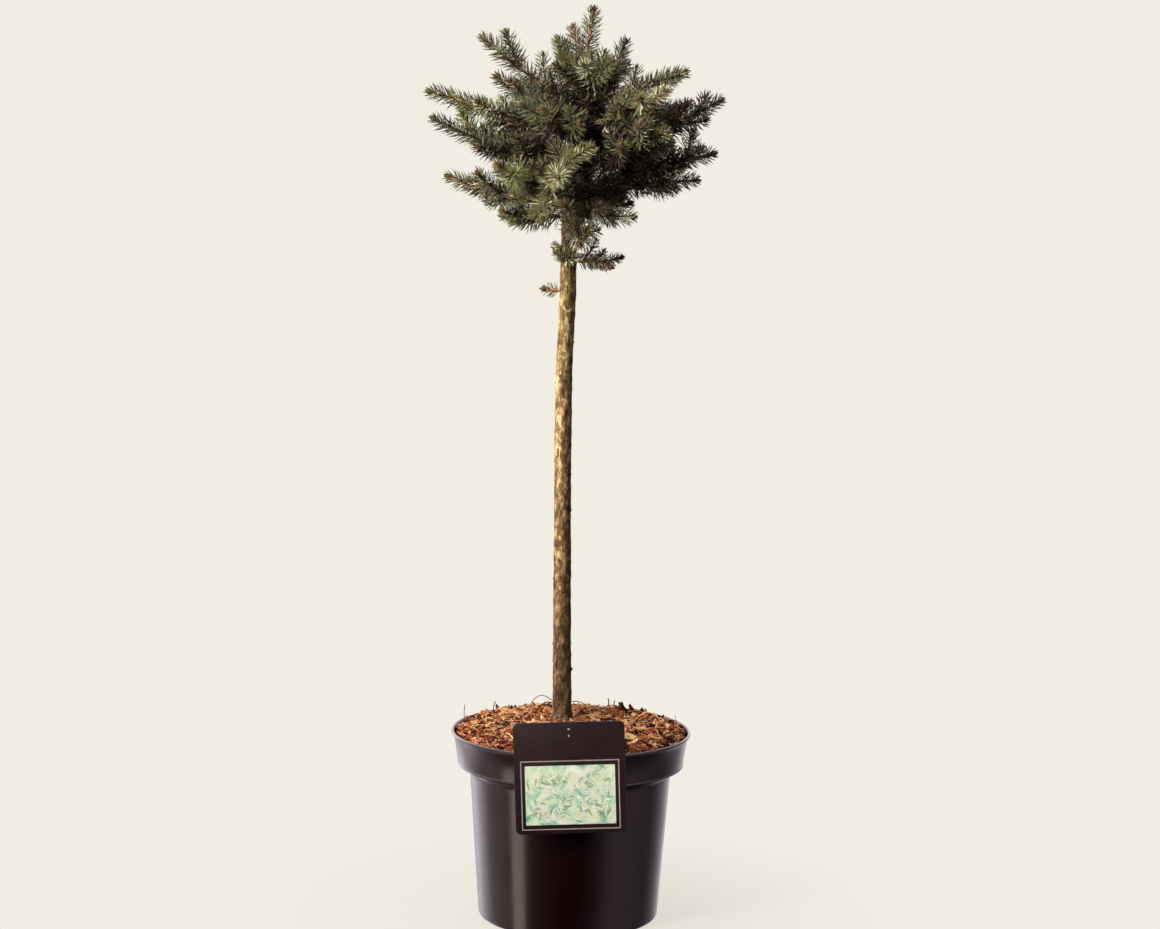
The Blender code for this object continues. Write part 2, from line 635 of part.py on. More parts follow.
def add_tube(bm, points, radii, sides, start_normal, twist=0.0):
    """Rings of vertices along a path, with its first ring cut on a given plane."""
    rings = []
    for i, (centre, (tangent, side, lift)) in enumerate(zip(points, ring_frames(points))):
        ring = []
        for k in range(sides):
            angle = 2 * math.pi * k / sides + twist * i
            spot = centre + radii[i] * (math.cos(angle) * side + math.sin(angle) * lift)
            if i == 0:
                spot = spot + tangent * (centre - spot).dot(start_normal) / tangent.dot(start_normal)
            ring.append(bm.verts.new(spot))
        rings.append(ring)
    bridge_rings(bm, rings, sides)
    bm.faces.new(list(reversed(rings[0])))
    bm.faces.new(rings[-1])
    return rings


def make_trunk():
    """Stem from its flat cut on the mulch, through the graft's knuckle, up to the leader."""
    flare = [station[0] for station in TRUNK_STATIONS[:3]]
    stem = np.linspace(TRUNK_STATIONS[3][0], KNUCKLE_FOOT, STEM_RINGS)
    crown = np.linspace(KNUCKLE_FLARE, TRUNK_STATIONS[-1][0], CROWN_RINGS)
    heights = np.concatenate([flare, stem, crown])
    points = [trunk_at(height)[0] for height in heights]
    radii = [trunk_at(height)[1] for height in heights]
    bm = bmesh.new()
    add_tube(bm, points, radii, TRUNK_SIDES, np.array((0.0, 0.0, 1.0)))
    return finish_object("trunk", bm, BARK, ROUND_WOOD)


def make_bough(name, wood):
    points = resample(wood.points, np.linalg.norm(wood.points[-1] - wood.points[0]) / BOUGH_RINGS)
    radii = np.linspace(wood.radius, wood.tip_radius, len(points))
    bm = bmesh.new()
    add_tube(bm, points, radii, BOUGH_SIDES, wood.start_normal)
    return finish_object("bough_" + name, bm, BARK, ROUND_WOOD)


def make_shoot(name, shoot, keeps_clear):
    """One shoot: a twisted core whose faces are drawn out into needles where there is room."""
    radii = np.linspace(shoot.radius, shoot.tip_radius, len(shoot.points))
    if shoot.bare_rings:
        radii[0] *= SUNK_ROOT_SHARE
    bm = bmesh.new()
    rings = add_tube(bm, shoot.points, radii, CORE_SIDES, shoot.start_normal, CORE_TWIST)
    last = len(rings) - 1
    for i in range(shoot.bare_rings, last):
        forwards = unit(shoot.points[i + 1] - shoot.points[i])
        middle = (shoot.points[i] + shoot.points[i + 1]) / 2
        share = i / max(last - 1, 1)
        lean = share**NEEDLE_LEAN_POWER
        angle = NEEDLE_ANGLE_AT_ROOT + (NEEDLE_ANGLE_AT_TIP - NEEDLE_ANGLE_AT_ROOT) * lean
        for k in range(CORE_SIDES):
            j = (k + 1) % CORE_SIDES
            corners = (rings[i][k], rings[i][j], rings[i + 1][j], rings[i + 1][k])
            outwards = np.mean([corner.co for corner in corners], axis=0) - middle
            outwards = unit(outwards - outwards.dot(forwards) * forwards)
            direction = math.cos(angle) * forwards + math.sin(angle) * outwards
            for shortening in NEEDLE_SHORTENINGS:
                length = NEEDLE_LENGTH * shortening * (1.0 - NEEDLE_TIP_LOSS * share)
                tip = middle + direction * length
                edges = [np.linspace(corner.co, tip, NEEDLE_POINTS) for corner in corners]
                if keeps_clear(np.concatenate(edges)):
                    face = bm.faces.get(corners)
                    apex = bmesh.ops.poke(bm, faces=[face])["verts"][0]
                    apex.co = Vector(tip)
                    break
    cap = bm.faces.get(rings[-1])
    bud = bmesh.ops.poke(bm, faces=[cap])["verts"][0]
    bud.co = Vector(shoot.points[-1] + unit(shoot.points[-1] - shoot.points[-2]) * BUD_LENGTH)
    return finish_object(name, bm, NEEDLES)


def make_mass(name, masses, boughs):
    """All the shoots of one limb, fused into one solid that keeps to its own space."""
    all_shoots = [shoot.points for mass in masses.values() for shoot in mass]
    wood = [limb.points for limb in boughs.values()]
    trunk = trunk_line()

    def room_round(own):
        others = [points for points in all_shoots if points is not own]

        def keeps_clear(points):
            to_own = distance_to_path(points, own)
            to_others = np.min([distance_to_path(points, path) for path in others], axis=0)
            to_wood = np.min([distance_to_path(points, path) for path in wood], axis=0)
            to_trunk = distance_to_path(points, trunk)
            return bool((to_others > to_own + 2 * NEEDLE_AIR).all()
                        and (to_wood > NEEDLE_TO_BOUGH).all() and (to_trunk > NEEDLE_TO_TRUNK).all())

        return keeps_clear

    shoots = []
    for k, shoot in enumerate(masses[name]):
        shoot_name = "foliage_" + name if k == 0 else f"{name}_shoot_{k}"
        shoots.append(make_shoot(shoot_name, shoot, room_round(shoot.points)))
    if len(shoots) > 1:
        join_into(shoots[0], shoots[1:], "MANIFOLD")
        keep_largest_body(shoots[0])
    return shoots[0]


def make_tree():
    """The trunk, its boughs, and the mass of foliage that each limb carries."""
    make_trunk()
    boughs, masses = grow_crown()
    for name, wood in boughs.items():
        make_bough(name, wood)
    for name in masses:
        make_mass(name, masses, boughs)


make_pot()
make_mulch()
make_label()
make_tree()
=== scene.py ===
"""Looks of a potted blue spruce standard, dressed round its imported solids.

Metres, +Z up, the origin under the middle of the pot, and the viewer towards -Y.
"""

import math
import random
from collections import namedtuple

import bpy
import numpy as np
from mathutils import Matrix, Vector


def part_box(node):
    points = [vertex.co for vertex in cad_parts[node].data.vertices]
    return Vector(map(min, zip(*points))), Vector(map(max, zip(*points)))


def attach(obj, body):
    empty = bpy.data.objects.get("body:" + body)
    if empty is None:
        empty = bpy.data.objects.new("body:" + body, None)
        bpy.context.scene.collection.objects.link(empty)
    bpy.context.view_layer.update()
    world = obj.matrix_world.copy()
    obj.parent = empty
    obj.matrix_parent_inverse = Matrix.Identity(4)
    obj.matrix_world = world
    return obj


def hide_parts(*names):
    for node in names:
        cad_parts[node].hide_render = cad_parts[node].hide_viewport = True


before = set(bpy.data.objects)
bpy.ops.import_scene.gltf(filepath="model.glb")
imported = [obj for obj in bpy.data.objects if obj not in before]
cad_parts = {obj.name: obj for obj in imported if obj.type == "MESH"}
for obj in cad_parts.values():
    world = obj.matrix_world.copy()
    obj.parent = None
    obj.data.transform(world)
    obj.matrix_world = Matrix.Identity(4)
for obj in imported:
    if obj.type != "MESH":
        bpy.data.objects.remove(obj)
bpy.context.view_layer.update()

# Nursery pot: one thin shell of glossy black plastic, injection moulded. Its body tapers
# to the foot, a shoulder steps out to the collar, and the collar ends in a rolled lip.
# Drain holes are punched through the floor.
POT_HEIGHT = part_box("pot")[1].z
LIP_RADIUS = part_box("pot")[1].x
COLLAR_TOP_RADIUS = 0.1265
COLLAR_FOOT_RADIUS = 0.1225
COLLAR_FOOT_HEIGHT = 0.1695
BODY_TOP_RADIUS = 0.1087
BODY_TOP_HEIGHT = 0.156
BODY_FOOT_RADIUS = 0.0978
FOOT_CORNER = 0.0055
LIP_BEAD = 0.0017
POT_WALL = 0.0020
POT_FLOOR = 0.0030
POT_SIDES = 144
DRAIN_COUNT = 8
DRAIN_RADIUS = 0.005
DRAIN_RING = 0.070


def arc(centre, radius, start, stop, steps):
    """Points on an arc of an outline, its angles in degrees from straight outwards."""
    return [(centre[0] + radius * math.cos(angle), centre[1] + radius * math.sin(angle))
            for angle in np.radians(np.linspace(start, stop, steps + 1))]


def draw_up(name, rings, sides):
    """Closed shell drawn up from a disc, ring by ring: radius, height, and the ring's middle."""
    bpy.ops.object.select_all(action="DESELECT")
    bpy.ops.mesh.primitive_circle_add(vertices=sides, radius=rings[0][0], fill_type="NGON",
                                      location=(rings[0][2], rings[0][3], rings[0][1]))
    shell = bpy.context.object
    shell.name = name
    bpy.ops.object.transform_apply()
    bpy.ops.object.mode_set(mode="EDIT")
    bpy.ops.mesh.select_all(action="SELECT")
    for (radius, height, x, y), (new_radius, new_height, new_x, new_y) in zip(rings, rings[1:]):
        rise = (new_x - x, new_y - y, new_height - height)
        bpy.ops.mesh.extrude_region_move(TRANSFORM_OT_translate={"value": rise})
        growth = new_radius / radius
        bpy.ops.transform.resize(value=(growth, growth, 1.0),
                                 center_override=(new_x, new_y, new_height))
    bpy.ops.mesh.select_all(action="SELECT")
    bpy.ops.mesh.normals_make_consistent(inside=False)
    bpy.ops.object.mode_set(mode="OBJECT")
    return shell


def apply_modifier(piece, kind, **settings):
    """Put one modifier on a piece, set it and apply it."""
    bpy.context.view_layer.objects.active = piece
    modifier = piece.modifiers.new(kind.lower(), kind)
    for key, value in settings.items():
        setattr(modifier, key, value)
    bpy.ops.object.modifier_apply(modifier=modifier.name)


def smooth_by_angle(piece, degrees):
    """Shade a piece smooth, with creases where its faces meet at more than an angle."""
    bpy.ops.object.select_all(action="DESELECT")
    piece.select_set(True)
    bpy.context.view_layer.objects.active = piece
    bpy.ops.object.shade_smooth_by_angle(angle=math.radians(degrees))


def join_pieces(pieces):
    """Join pieces into the first of them."""
    bpy.ops.object.select_all(action="DESELECT")
    for piece in pieces:
        piece.select_set(True)
    bpy.context.view_layer.objects.active = pieces[0]
    bpy.ops.object.join()
    return pieces[0]


def new_finish(name, colour, roughness):
    """Material with a plain base colour and roughness, and the shader of that material."""
    finish = bpy.data.materials.new(name)
    finish.use_nodes = True
    shader = finish.node_tree.nodes["Principled BSDF"]
    shader.inputs["Base Color"].default_value = (*colour, 1.0)
    shader.inputs["Roughness"].default_value = roughness
    return finish, shader


def add_node(finish, kind, inputs, **settings):
    """Shader node with its settings; each input is a fixed value or a socket to link."""
    node = finish.node_tree.nodes.new(kind)
    for key, value in settings.items():
        setattr(node, key, value)
    for key, value in inputs.items():
        if isinstance(value, bpy.types.NodeSocket):
            finish.node_tree.links.new(value, node.inputs[key])
        else:
            node.inputs[key].default_value = value
    return node


def own_place(finish, stretch=(1.0, 1.0, 1.0)):
    """Socket of the surface's own place in the row frame, stretched along its axes."""
    place = add_node(finish, "ShaderNodeTexCoord", {}).outputs["Object"]
    scale = tuple(1.0 / share for share in stretch)
    return add_node(finish, "ShaderNodeMapping", {"Vector": place, "Scale": scale}).outputs[0]


def noise(finish, place, scale, detail=5.0, roughness=0.55, distortion=0.0):
    inputs = {"Vector": place, "Scale": scale, "Detail": detail, "Roughness": roughness,
              "Distortion": distortion}
    return add_node(finish, "ShaderNodeTexNoise", inputs).outputs["Fac"]


def ramp(finish, share, stops):
    """Colour or grey that runs through stops of (share, colour)."""
    node = add_node(finish, "ShaderNodeValToRGB", {"Fac": share})
    elements = node.color_ramp.elements
    while len(elements) < len(stops):
        elements.new(0.5)
    for element, (position, colour) in zip(elements, stops):
        element.position = position
        element.color = (*colour, 1.0) if isinstance(colour, tuple) else (colour,) * 3 + (1.0,)
    return node.outputs["Color"]


def blend_colours(finish, share, first, second, way="MIX"):
    """Colour between two, by a share; each is a socket or a fixed colour."""
    node = add_node(finish, "ShaderNodeMix", {}, data_type="RGBA", blend_type=way)
    for socket, value in ((node.inputs[0], share), (node.inputs[6], first), (node.inputs[7], second)):
        if isinstance(value, bpy.types.NodeSocket):
            finish.node_tree.links.new(value, socket)
        else:
            socket.default_value = (*value, 1.0) if isinstance(value, tuple) else value
    return node.outputs[2]


def dress(finish, shader, **sockets):
    """Link sockets to the shader's inputs, named with underscores for spaces."""
    for key, socket in sockets.items():
        finish.node_tree.links.new(socket, shader.inputs[key.replace("_", " ")])


def relief(finish, height, strength, depth, under=None):
    """Normal that a bump of a height pattern gives, on top of another one's."""
    inputs = {"Height": height, "Strength": strength, "Distance": depth}
    if under is not None:
        inputs["Normal"] = under
    return add_node(finish, "ShaderNodeBump", inputs).outputs["Normal"]


def moulded_plastic():
    finish, shader = new_finish("moulded_plastic", (0.010, 0.0055, 0.0070), 0.26)
    shader.inputs["Specular IOR Level"].default_value = 0.5
    place = own_place(finish)
    flow = noise(finish, own_place(finish, (1.0, 1.0, 9.0)), 46.0, 4.0)
    dust = noise(finish, place, 620.0, 3.0, 0.7)
    specks = ramp(finish, dust, [(0.60, 0.0), (0.74, 1.0)])
    patches = ramp(finish, noise(finish, place, 19.0, 5.0), [(0.42, 0.0), (0.72, 0.6)])
    tint = ramp(finish, flow, [(0.30, (0.0070, 0.0010, 0.0016)), (0.75, (0.0110, 0.0028, 0.0038))])
    dusty = blend_colours(finish, 0.09, tint, (0.10, 0.085, 0.075))
    base = blend_colours(finish, blend_colours(finish, specks, (0.0, 0.0, 0.0), patches), tint, dusty)
    shine = ramp(finish, noise(finish, place, 31.0, 6.0, 0.65), [(0.30, 0.15), (0.80, 0.28)])
    grain = relief(finish, noise(finish, place, 900.0, 2.0), 0.04, 0.0002)
    ripple = relief(finish, flow, 0.05, 0.0006, grain)
    dress(finish, shader, Base_Color=base, Roughness=shine, Normal=ripple)
    return finish


foot = arc((BODY_FOOT_RADIUS - FOOT_CORNER, FOOT_CORNER), FOOT_CORNER, -90, 0, 6)
shoulder = arc((BODY_TOP_RADIUS + 0.0075, BODY_TOP_HEIGHT + 0.0010), 0.0072, 172, 118, 5)
shoulder += [(COLLAR_FOOT_RADIUS - 0.0032, COLLAR_FOOT_HEIGHT - 0.0022)]
drip_edge = arc((COLLAR_FOOT_RADIUS - 0.0008, COLLAR_FOOT_HEIGHT - 0.0006), 0.0013, -125, 60, 8)
drip_edge += [(COLLAR_FOOT_RADIUS + 0.0001, COLLAR_FOOT_HEIGHT + 0.0022)]
collar = [(COLLAR_TOP_RADIUS - 0.0002, POT_HEIGHT - 0.0078)]
collar += [(COLLAR_TOP_RADIUS + 0.0012, POT_HEIGHT - 0.0056)]
bead = arc((LIP_RADIUS - LIP_BEAD, POT_HEIGHT - LIP_BEAD), LIP_BEAD, -60, 150, 10)
inside = [
    (COLLAR_TOP_RADIUS - POT_WALL, POT_HEIGHT - 0.0065),
    (COLLAR_FOOT_RADIUS - POT_WALL, COLLAR_FOOT_HEIGHT + POT_WALL),
    (BODY_TOP_RADIUS + 0.0005, BODY_TOP_HEIGHT + 0.0095),
    (BODY_TOP_RADIUS - POT_WALL, BODY_TOP_HEIGHT + 0.001),
    (BODY_FOOT_RADIUS - POT_WALL, FOOT_CORNER + POT_FLOOR),
    (BODY_FOOT_RADIUS - 0.0075, POT_FLOOR),
]
outline = foot + [(BODY_TOP_RADIUS, BODY_TOP_HEIGHT)] + shoulder + drip_edge + collar + bead + inside
pot = draw_up("pot_shell", [(radius, height, 0.0, 0.0) for radius, height in outline], POT_SIDES)

drills = []
for k in range(DRAIN_COUNT):
    angle = 2 * math.pi * (k + 0.5) / DRAIN_COUNT
    bpy.ops.object.select_all(action="DESELECT")
    bpy.ops.mesh.primitive_cylinder_add(vertices=28, radius=DRAIN_RADIUS, depth=4 * POT_FLOOR,
                                        location=(DRAIN_RING * math.cos(angle),
                                                  DRAIN_RING * math.sin(angle), 0.0))
    drills.append(bpy.context.object)
drill = join_pieces(drills)
apply_modifier(pot, "BOOLEAN", object=drill, operation="DIFFERENCE")
bpy.data.objects.remove(drill)
pot.data.materials.append(moulded_plastic())
smooth_by_angle(pot, 32)
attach(pot, "root")
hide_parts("pot")

# Bed of the mulch: fine dark bark and compost that fills the pot to its lip and rises in a low mound
# to the stem, a little higher at the back. The chips that show are laid over it, and the bed's dark colour is
# partly painted shade in the gaps between them.
BED_EDGE_HEIGHT = 0.2000
BED_SLOPE = math.radians(0.6)
MOUND_ROUNDNESS = 1.6
BED_TOP_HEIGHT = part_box("trunk")[0].z - 0.0003
BED_EDGE_RADIUS = COLLAR_TOP_RADIUS - POT_WALL - 0.0006
BED_RINGS = 22
STEM_FOOT = Vector((-0.0098, 0.0))
BED_SEAT_RADIUS = 0.010


def mound_height(away):
    """Height of the mound at a distance from the pot's middle, before it slopes."""
    share = min(away / BED_EDGE_RADIUS, 1.0)
    return BED_TOP_HEIGHT + (BED_EDGE_HEIGHT - BED_TOP_HEIGHT) * share**MOUND_ROUNDNESS


def bed_height(x, y):
    """Height of the bed over a point, before its lumps."""
    return mound_height(math.hypot(x, y)) + (y + BED_EDGE_RADIUS) * math.tan(BED_SLOPE)


def compost_and_gap_shade():
    finish, shader = new_finish("compost_and_gap_shade", (0.05, 0.02, 0.012), 0.9)
    shader.inputs["Specular IOR Level"].default_value = 0.15
    place = own_place(finish)
    crumbs = noise(finish, place, 420.0, 6.0, 0.7)
    # Dark compost, its darkest part painted shade for the gaps between the chips, where the bed shows
    base = ramp(finish, crumbs, [(0.32, (0.010, 0.0035, 0.002)), (0.52, (0.050, 0.016, 0.007)),
                                 (0.72, (0.180, 0.062, 0.023))])
    bumps = relief(finish, crumbs, 0.8, 0.002)
    dress(finish, shader, Base_Color=base, Normal=bumps)
    return finish


bed_rings = [(BED_EDGE_RADIUS - 0.006, BED_EDGE_HEIGHT - 0.012, 0.0, 0.0)]
for step in range(BED_RINGS, -1, -1):
    share = step / BED_RINGS
    middle = STEM_FOOT * (1 - share)
    radius = BED_SEAT_RADIUS + (BED_EDGE_RADIUS - BED_SEAT_RADIUS) * share
    bed_rings.append((radius, mound_height(radius), middle.x, middle.y))
bed = draw_up("mulch_bed", bed_rings, 120)
bpy.ops.object.mode_set(mode="EDIT")
bpy.ops.mesh.select_all(action="SELECT")
bpy.ops.transform.rotate(value=-BED_SLOPE, orient_axis="X",
                         center_override=(0.0, -BED_EDGE_RADIUS, BED_EDGE_HEIGHT))
bpy.ops.object.mode_set(mode="OBJECT")
lumps = bpy.data.textures.new("bed_lumps", "CLOUDS")
lumps.noise_scale = 0.009
lumps.noise_depth = 3
apply_modifier(bed, "DISPLACE", texture=lumps, strength=0.006, mid_level=0.62, texture_coords="LOCAL")
bed.data.materials.append(compost_and_gap_shade())
smooth_by_angle(bed, 60)
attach(bed, "root")
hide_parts("bark_mulch")

# Bark chips: flakes of milled conifer bark, 4 to 20 mm long, with ragged outlines and a
# little curl. They lie at all angles and close over the bed up to the lip, and a few dark
# ones stand up at the back. Each flake is one colour, as broken bark is.
CHIP_COUNT = 2500
CRUMB_COUNT = 3400
CHIP_CORNERS = 7
CHIP_SHAPES = 9
CHIP_TONES = (
    ("chip_orange", (0.50, 0.165, 0.054)),
    ("chip_tan", (0.68, 0.345, 0.160)),
    ("chip_rust", (0.270, 0.062, 0.020)),
    ("chip_pink_brown", (0.50, 0.205, 0.125)),
    ("chip_straw", (0.84, 0.55, 0.25)),
    ("chip_umber", (0.060, 0.016, 0.008)),
    ("chip_maroon", (0.018, 0.005, 0.004)),
)
CHIP_TONE_WEIGHTS = (25, 19, 16, 14, 8, 12, 12)
# Crumbs sink between the chips and lean to the darkest tones: dark fines of the mulch, and painted shade in the
# gaps between the chips
CRUMB_TONE_WEIGHTS = (14, 5, 22, 8, 1, 26, 26)
# Flakes that stand up: place, length, lean from upright and heading in degrees
STANDING_CHIPS = (
    ((0.0540, 0.088, 0.2095), 0.0200, 26, 20),
    ((0.0580, 0.092, 0.2105), 0.0150, 50, 160),
    ((0.0710, 0.078, 0.2085), 0.0210, 32, 200),
    ((0.0760, 0.080, 0.2080), 0.0150, 58, 30),
    ((0.0860, 0.070, 0.2055), 0.0120, 40, 330),
    ((-0.0980, 0.058, 0.2040), 0.0110, 45, 140),
)


def broken_bark(name, colour):
    """Finish of bark that was torn: fine fibres in lighter and darker shades of one colour."""
    finish, shader = new_finish(name, colour, 0.88)
    shader.inputs["Specular IOR Level"].default_value = 0.15
    fibres = noise(finish, own_place(finish), 520.0, 5.0, 0.7)
    shades = [(position, tuple(share * value for value in colour))
              for position, share in ((0.30, 0.45), (0.50, 0.95), (0.72, 1.35))]
    grain = relief(finish, fibres, 0.5, 0.0006)
    dress(finish, shader, Base_Color=ramp(finish, fibres, shades), Normal=grain)
    return finish


def chip_shape(dice):
    """Closed ragged flake, one unit long and about half as wide, domed on its upper side."""
    width, thickness, curl = dice.uniform(0.24, 0.54), dice.uniform(0.08, 0.18), dice.uniform(-0.1, 0.30)
    outline = []
    for k in range(CHIP_CORNERS):
        angle = 2 * math.pi * (k + dice.uniform(-0.25, 0.25)) / CHIP_CORNERS
        reach = dice.uniform(0.72, 1.12)
        x, y = 0.5 * reach * math.cos(angle), 0.5 * width * reach * math.sin(angle)
        outline.append((x, y, curl * x * x * 2))
    under = [(x * 0.86, y * 0.86, z - thickness) for x, y, z in outline]
    peak = (0.05, 0.0, 0.35 * thickness)
    points = np.array(outline + under + [peak, (0.0, 0.0, -0.9 * thickness)])
    top, bottom, faces = 2 * CHIP_CORNERS, 2 * CHIP_CORNERS + 1, []
    for k in range(CHIP_CORNERS):
        j = (k + 1) % CHIP_CORNERS
        faces += [(k, j, top), (CHIP_CORNERS + j, CHIP_CORNERS + k, bottom)]
        faces += [(k, CHIP_CORNERS + k, CHIP_CORNERS + j), (k, CHIP_CORNERS + j, j)]
    return points, np.array(faces)


def join_arrays(name, blocks, finishes):
    """One object from many small shapes, each (points, triangles, number of its finish)."""
    starts = np.cumsum([0] + [len(points) for points, faces, tone in blocks[:-1]])
    points = np.concatenate([points for points, faces, tone in blocks])
    faces = np.concatenate([faces + start for start, (points_, faces, tone) in zip(starts, blocks)])
    tones = np.concatenate([np.full(len(faces_), tone) if np.isscalar(tone) else tone
                            for points_, faces_, tone in blocks])
    mesh = bpy.data.meshes.new(name)
    mesh.from_pydata(points.tolist(), [], faces.tolist())
    for finish in finishes:
        mesh.materials.append(finish)
    mesh.polygons.foreach_set("material_index", tones.astype(np.int32))
    mesh.update()
    made = bpy.data.objects.new(name, mesh)
    bpy.context.scene.collection.objects.link(made)
    return made


def scatter_chips(count, smallest, longest, weights, dice, shapes, sunk):
    """Flakes strewn over the mound, each a block for join_arrays."""
    blocks = []
    while len(blocks) < count:
        azimuth = dice.uniform(0.0, 2 * math.pi)
        away = BED_EDGE_RADIUS * math.sqrt(dice.uniform(0.008, 1.0))
        length = smallest + (longest - smallest) * dice.random()**2.2
        if away + 0.34 * length > BED_EDGE_RADIUS + 0.0018:
            continue
        x, y = away * math.cos(azimuth), away * math.sin(azimuth)
        if (Vector((x, y)) - STEM_FOOT).length < 0.012 + 0.3 * length:
            continue
        steep = dice.gauss(0.0, 0.50)
        turn = (Matrix.Rotation(dice.uniform(0, 2 * math.pi), 3, "Z")
                @ Matrix.Rotation(steep, 3, "X") @ Matrix.Rotation(dice.gauss(0.0, 0.40), 3, "Y"))
        points, faces = shapes[dice.randrange(len(shapes))]
        lift = bed_height(x, y) + dice.uniform(-sunk, 0.0035)
        placed = points * length @ np.array(turn).T + np.array((x, y, lift))
        blocks.append((placed, faces, dice.choices(range(len(weights)), weights)[0]))
    return blocks


chip_dice = random.Random(21)
chip_finishes = [broken_bark(name, colour) for name, colour in CHIP_TONES]
chip_shapes = [chip_shape(chip_dice) for k in range(CHIP_SHAPES)]
small = scatter_chips(CRUMB_COUNT, 0.0020, 0.0050, CRUMB_TONE_WEIGHTS, chip_dice, chip_shapes, 0.0015)
crumbs = join_arrays("mulch_crumbs", small, chip_finishes)
large = scatter_chips(CHIP_COUNT, 0.0050, 0.0200, CHIP_TONE_WEIGHTS, chip_dice, chip_shapes, 0.0010)
for k, (place, length, lean, heading) in enumerate(STANDING_CHIPS):
    turn = (Matrix.Rotation(math.radians(heading), 3, "Z")
            @ Matrix.Rotation(math.radians(lean - 90), 3, "Y"))
    points, faces = chip_shapes[k]
    large.append((points * length @ np.array(turn).T + np.array(place), faces, 5 + k % 2))
chips = join_arrays("mulch_chips", large, chip_finishes)
for piece in (crumbs, chips):
    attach(piece, "root")

# Fibres of shredded bark: wiry strands among the chips, most of them lying down, some
# arched clear of the bed, with one tall loop to the left of the stem.
FIBRE_COUNT = 300
FIBRE_TONES = (
    ("fibre_straw", (0.66, 0.40, 0.18)),
    ("fibre_russet", (0.24, 0.080, 0.032)),
    ("fibre_dark", (0.055, 0.024, 0.016)),
)


def unit(vector):
    return vector / np.linalg.norm(vector)


def quadratic(start, middle, end, count=24):
    """Points on the curve that leaves start, passes middle and ends at end."""
    control = 2 * middle - (start + end) / 2
    t = np.linspace(0.0, 1.0, count + 1)[:, None]
    return (1 - t)**2 * start + 2 * t * (1 - t) * control + t**2 * end


def ring_frames(points):
    """Tangent, side and lift at each point of a path, carried along without twist."""
    tangents = [unit(points[min(i + 1, len(points) - 1)] - points[max(i - 1, 0)])
                for i in range(len(points))]
    helper = np.array((0.0, 0.0, 1.0)) if abs(tangents[0][2]) < 0.9 else np.array((1.0, 0.0, 0.0))
    side = unit(np.cross(tangents[0], helper))
    sides = []
    for tangent in tangents:
        side = unit(side - side.dot(tangent) * tangent)
        sides.append(side)
    return np.array(tangents), np.array(sides), np.cross(sides, tangents)


def tube(points, radii, sides, swell=None):
    """Closed tube round a path. The swell, where given, scales each vertex's radius."""
    tangents, side, lift = ring_frames(points)
    angles = 2 * math.pi * np.arange(sides) / sides
    away = np.cos(angles)[None, :, None] * side[:, None] + np.sin(angles)[None, :, None] * lift[:, None]
    reach = np.asarray(radii)[:, None] * (1.0 if swell is None else swell)
    rings = points[:, None] + np.broadcast_to(reach, (len(points), sides))[:, :, None] * away
    spots = np.concatenate([rings.reshape(-1, 3), points[:1], points[-1:]])
    first, last, faces = len(spots) - 2, len(spots) - 1, []
    for i in range(len(points) - 1):
        for k in range(sides):
            a, b = i * sides + k, i * sides + (k + 1) % sides
            faces += [(a, a + sides, b), (b, a + sides, b + sides)]
    foot = (len(points) - 1) * sides
    for k in range(sides):
        j = (k + 1) % sides
        faces += [(k, j, first), (foot + j, foot + k, last)]
    return spots, np.array(faces)


def fibre_loop(start, top, end, radius, tone):
    path = quadratic(np.array(start), np.array(top), np.array(end), 18)
    return (*tube(path, np.full(len(path), radius), 4), tone)


fibre_dice = random.Random(33)
fibres = [
    fibre_loop((-0.050, 0.016, 0.207), (-0.034, 0.022, 0.236), (-0.006, 0.030, 0.211), 0.00045, 1),
    fibre_loop((-0.042, 0.020, 0.207), (-0.026, 0.026, 0.228), (-0.002, 0.022, 0.210), 0.00060, 2),
    fibre_loop((-0.114, 0.020, 0.199), (-0.117, 0.024, 0.211), (-0.1165, 0.028, 0.223), 0.00050, 2),
    fibre_loop((-0.085, 0.050, 0.207), (-0.086, 0.052, 0.215), (-0.084, 0.054, 0.222), 0.00050, 2),
    fibre_loop((0.040, 0.090, 0.209), (0.042, 0.091, 0.214), (0.041, 0.092, 0.220), 0.00070, 2),
    fibre_loop((0.052, 0.086, 0.209), (0.048, 0.087, 0.214), (0.049, 0.088, 0.218), 0.00060, 1),
    fibre_loop((0.112, 0.020, 0.202), (0.114, 0.021, 0.209), (0.1135, 0.022, 0.217), 0.00040, 0),
    fibre_loop((0.096, -0.052, 0.202), (0.094, -0.050, 0.210), (0.089, -0.048, 0.217), 0.00045, 0),
]
while len(fibres) < FIBRE_COUNT:
    azimuth, away = fibre_dice.uniform(0, 2 * math.pi), 0.114 * math.sqrt(fibre_dice.uniform(0.02, 1.0))
    heading, length = fibre_dice.uniform(0, 2 * math.pi), fibre_dice.uniform(0.010, 0.034)
    spot = np.array((away * math.cos(azimuth), away * math.sin(azimuth)))
    ends = [spot + turn * length / 2 * np.array((math.cos(heading), math.sin(heading))) for turn in (-1, 1)]
    if max(np.linalg.norm(end) for end in ends) > BED_EDGE_RADIUS - 0.003:
        continue
    start, end = (np.array((*at, bed_height(*at) + 0.002)) for at in ends)
    sideways = np.array((-math.sin(heading), math.cos(heading), 0.0)) * fibre_dice.gauss(0.0, 0.12)
    arch = np.array((0.0, 0.0, abs(fibre_dice.gauss(0.0, 0.10)) + 0.04))
    path = quadratic(start, (start + end) / 2 + length * (sideways + arch), end, 12)
    shape = tube(path, np.full(len(path), fibre_dice.uniform(0.0002, 0.0007)), 3)
    fibres.append((*shape, fibre_dice.choices((0, 1, 2), (7, 4, 3))[0]))
fibre_finishes = [broken_bark(name, colour) for name, colour in FIBRE_TONES]
strands = join_arrays("mulch_fibres", fibres, fibre_finishes)
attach(strands, "root")

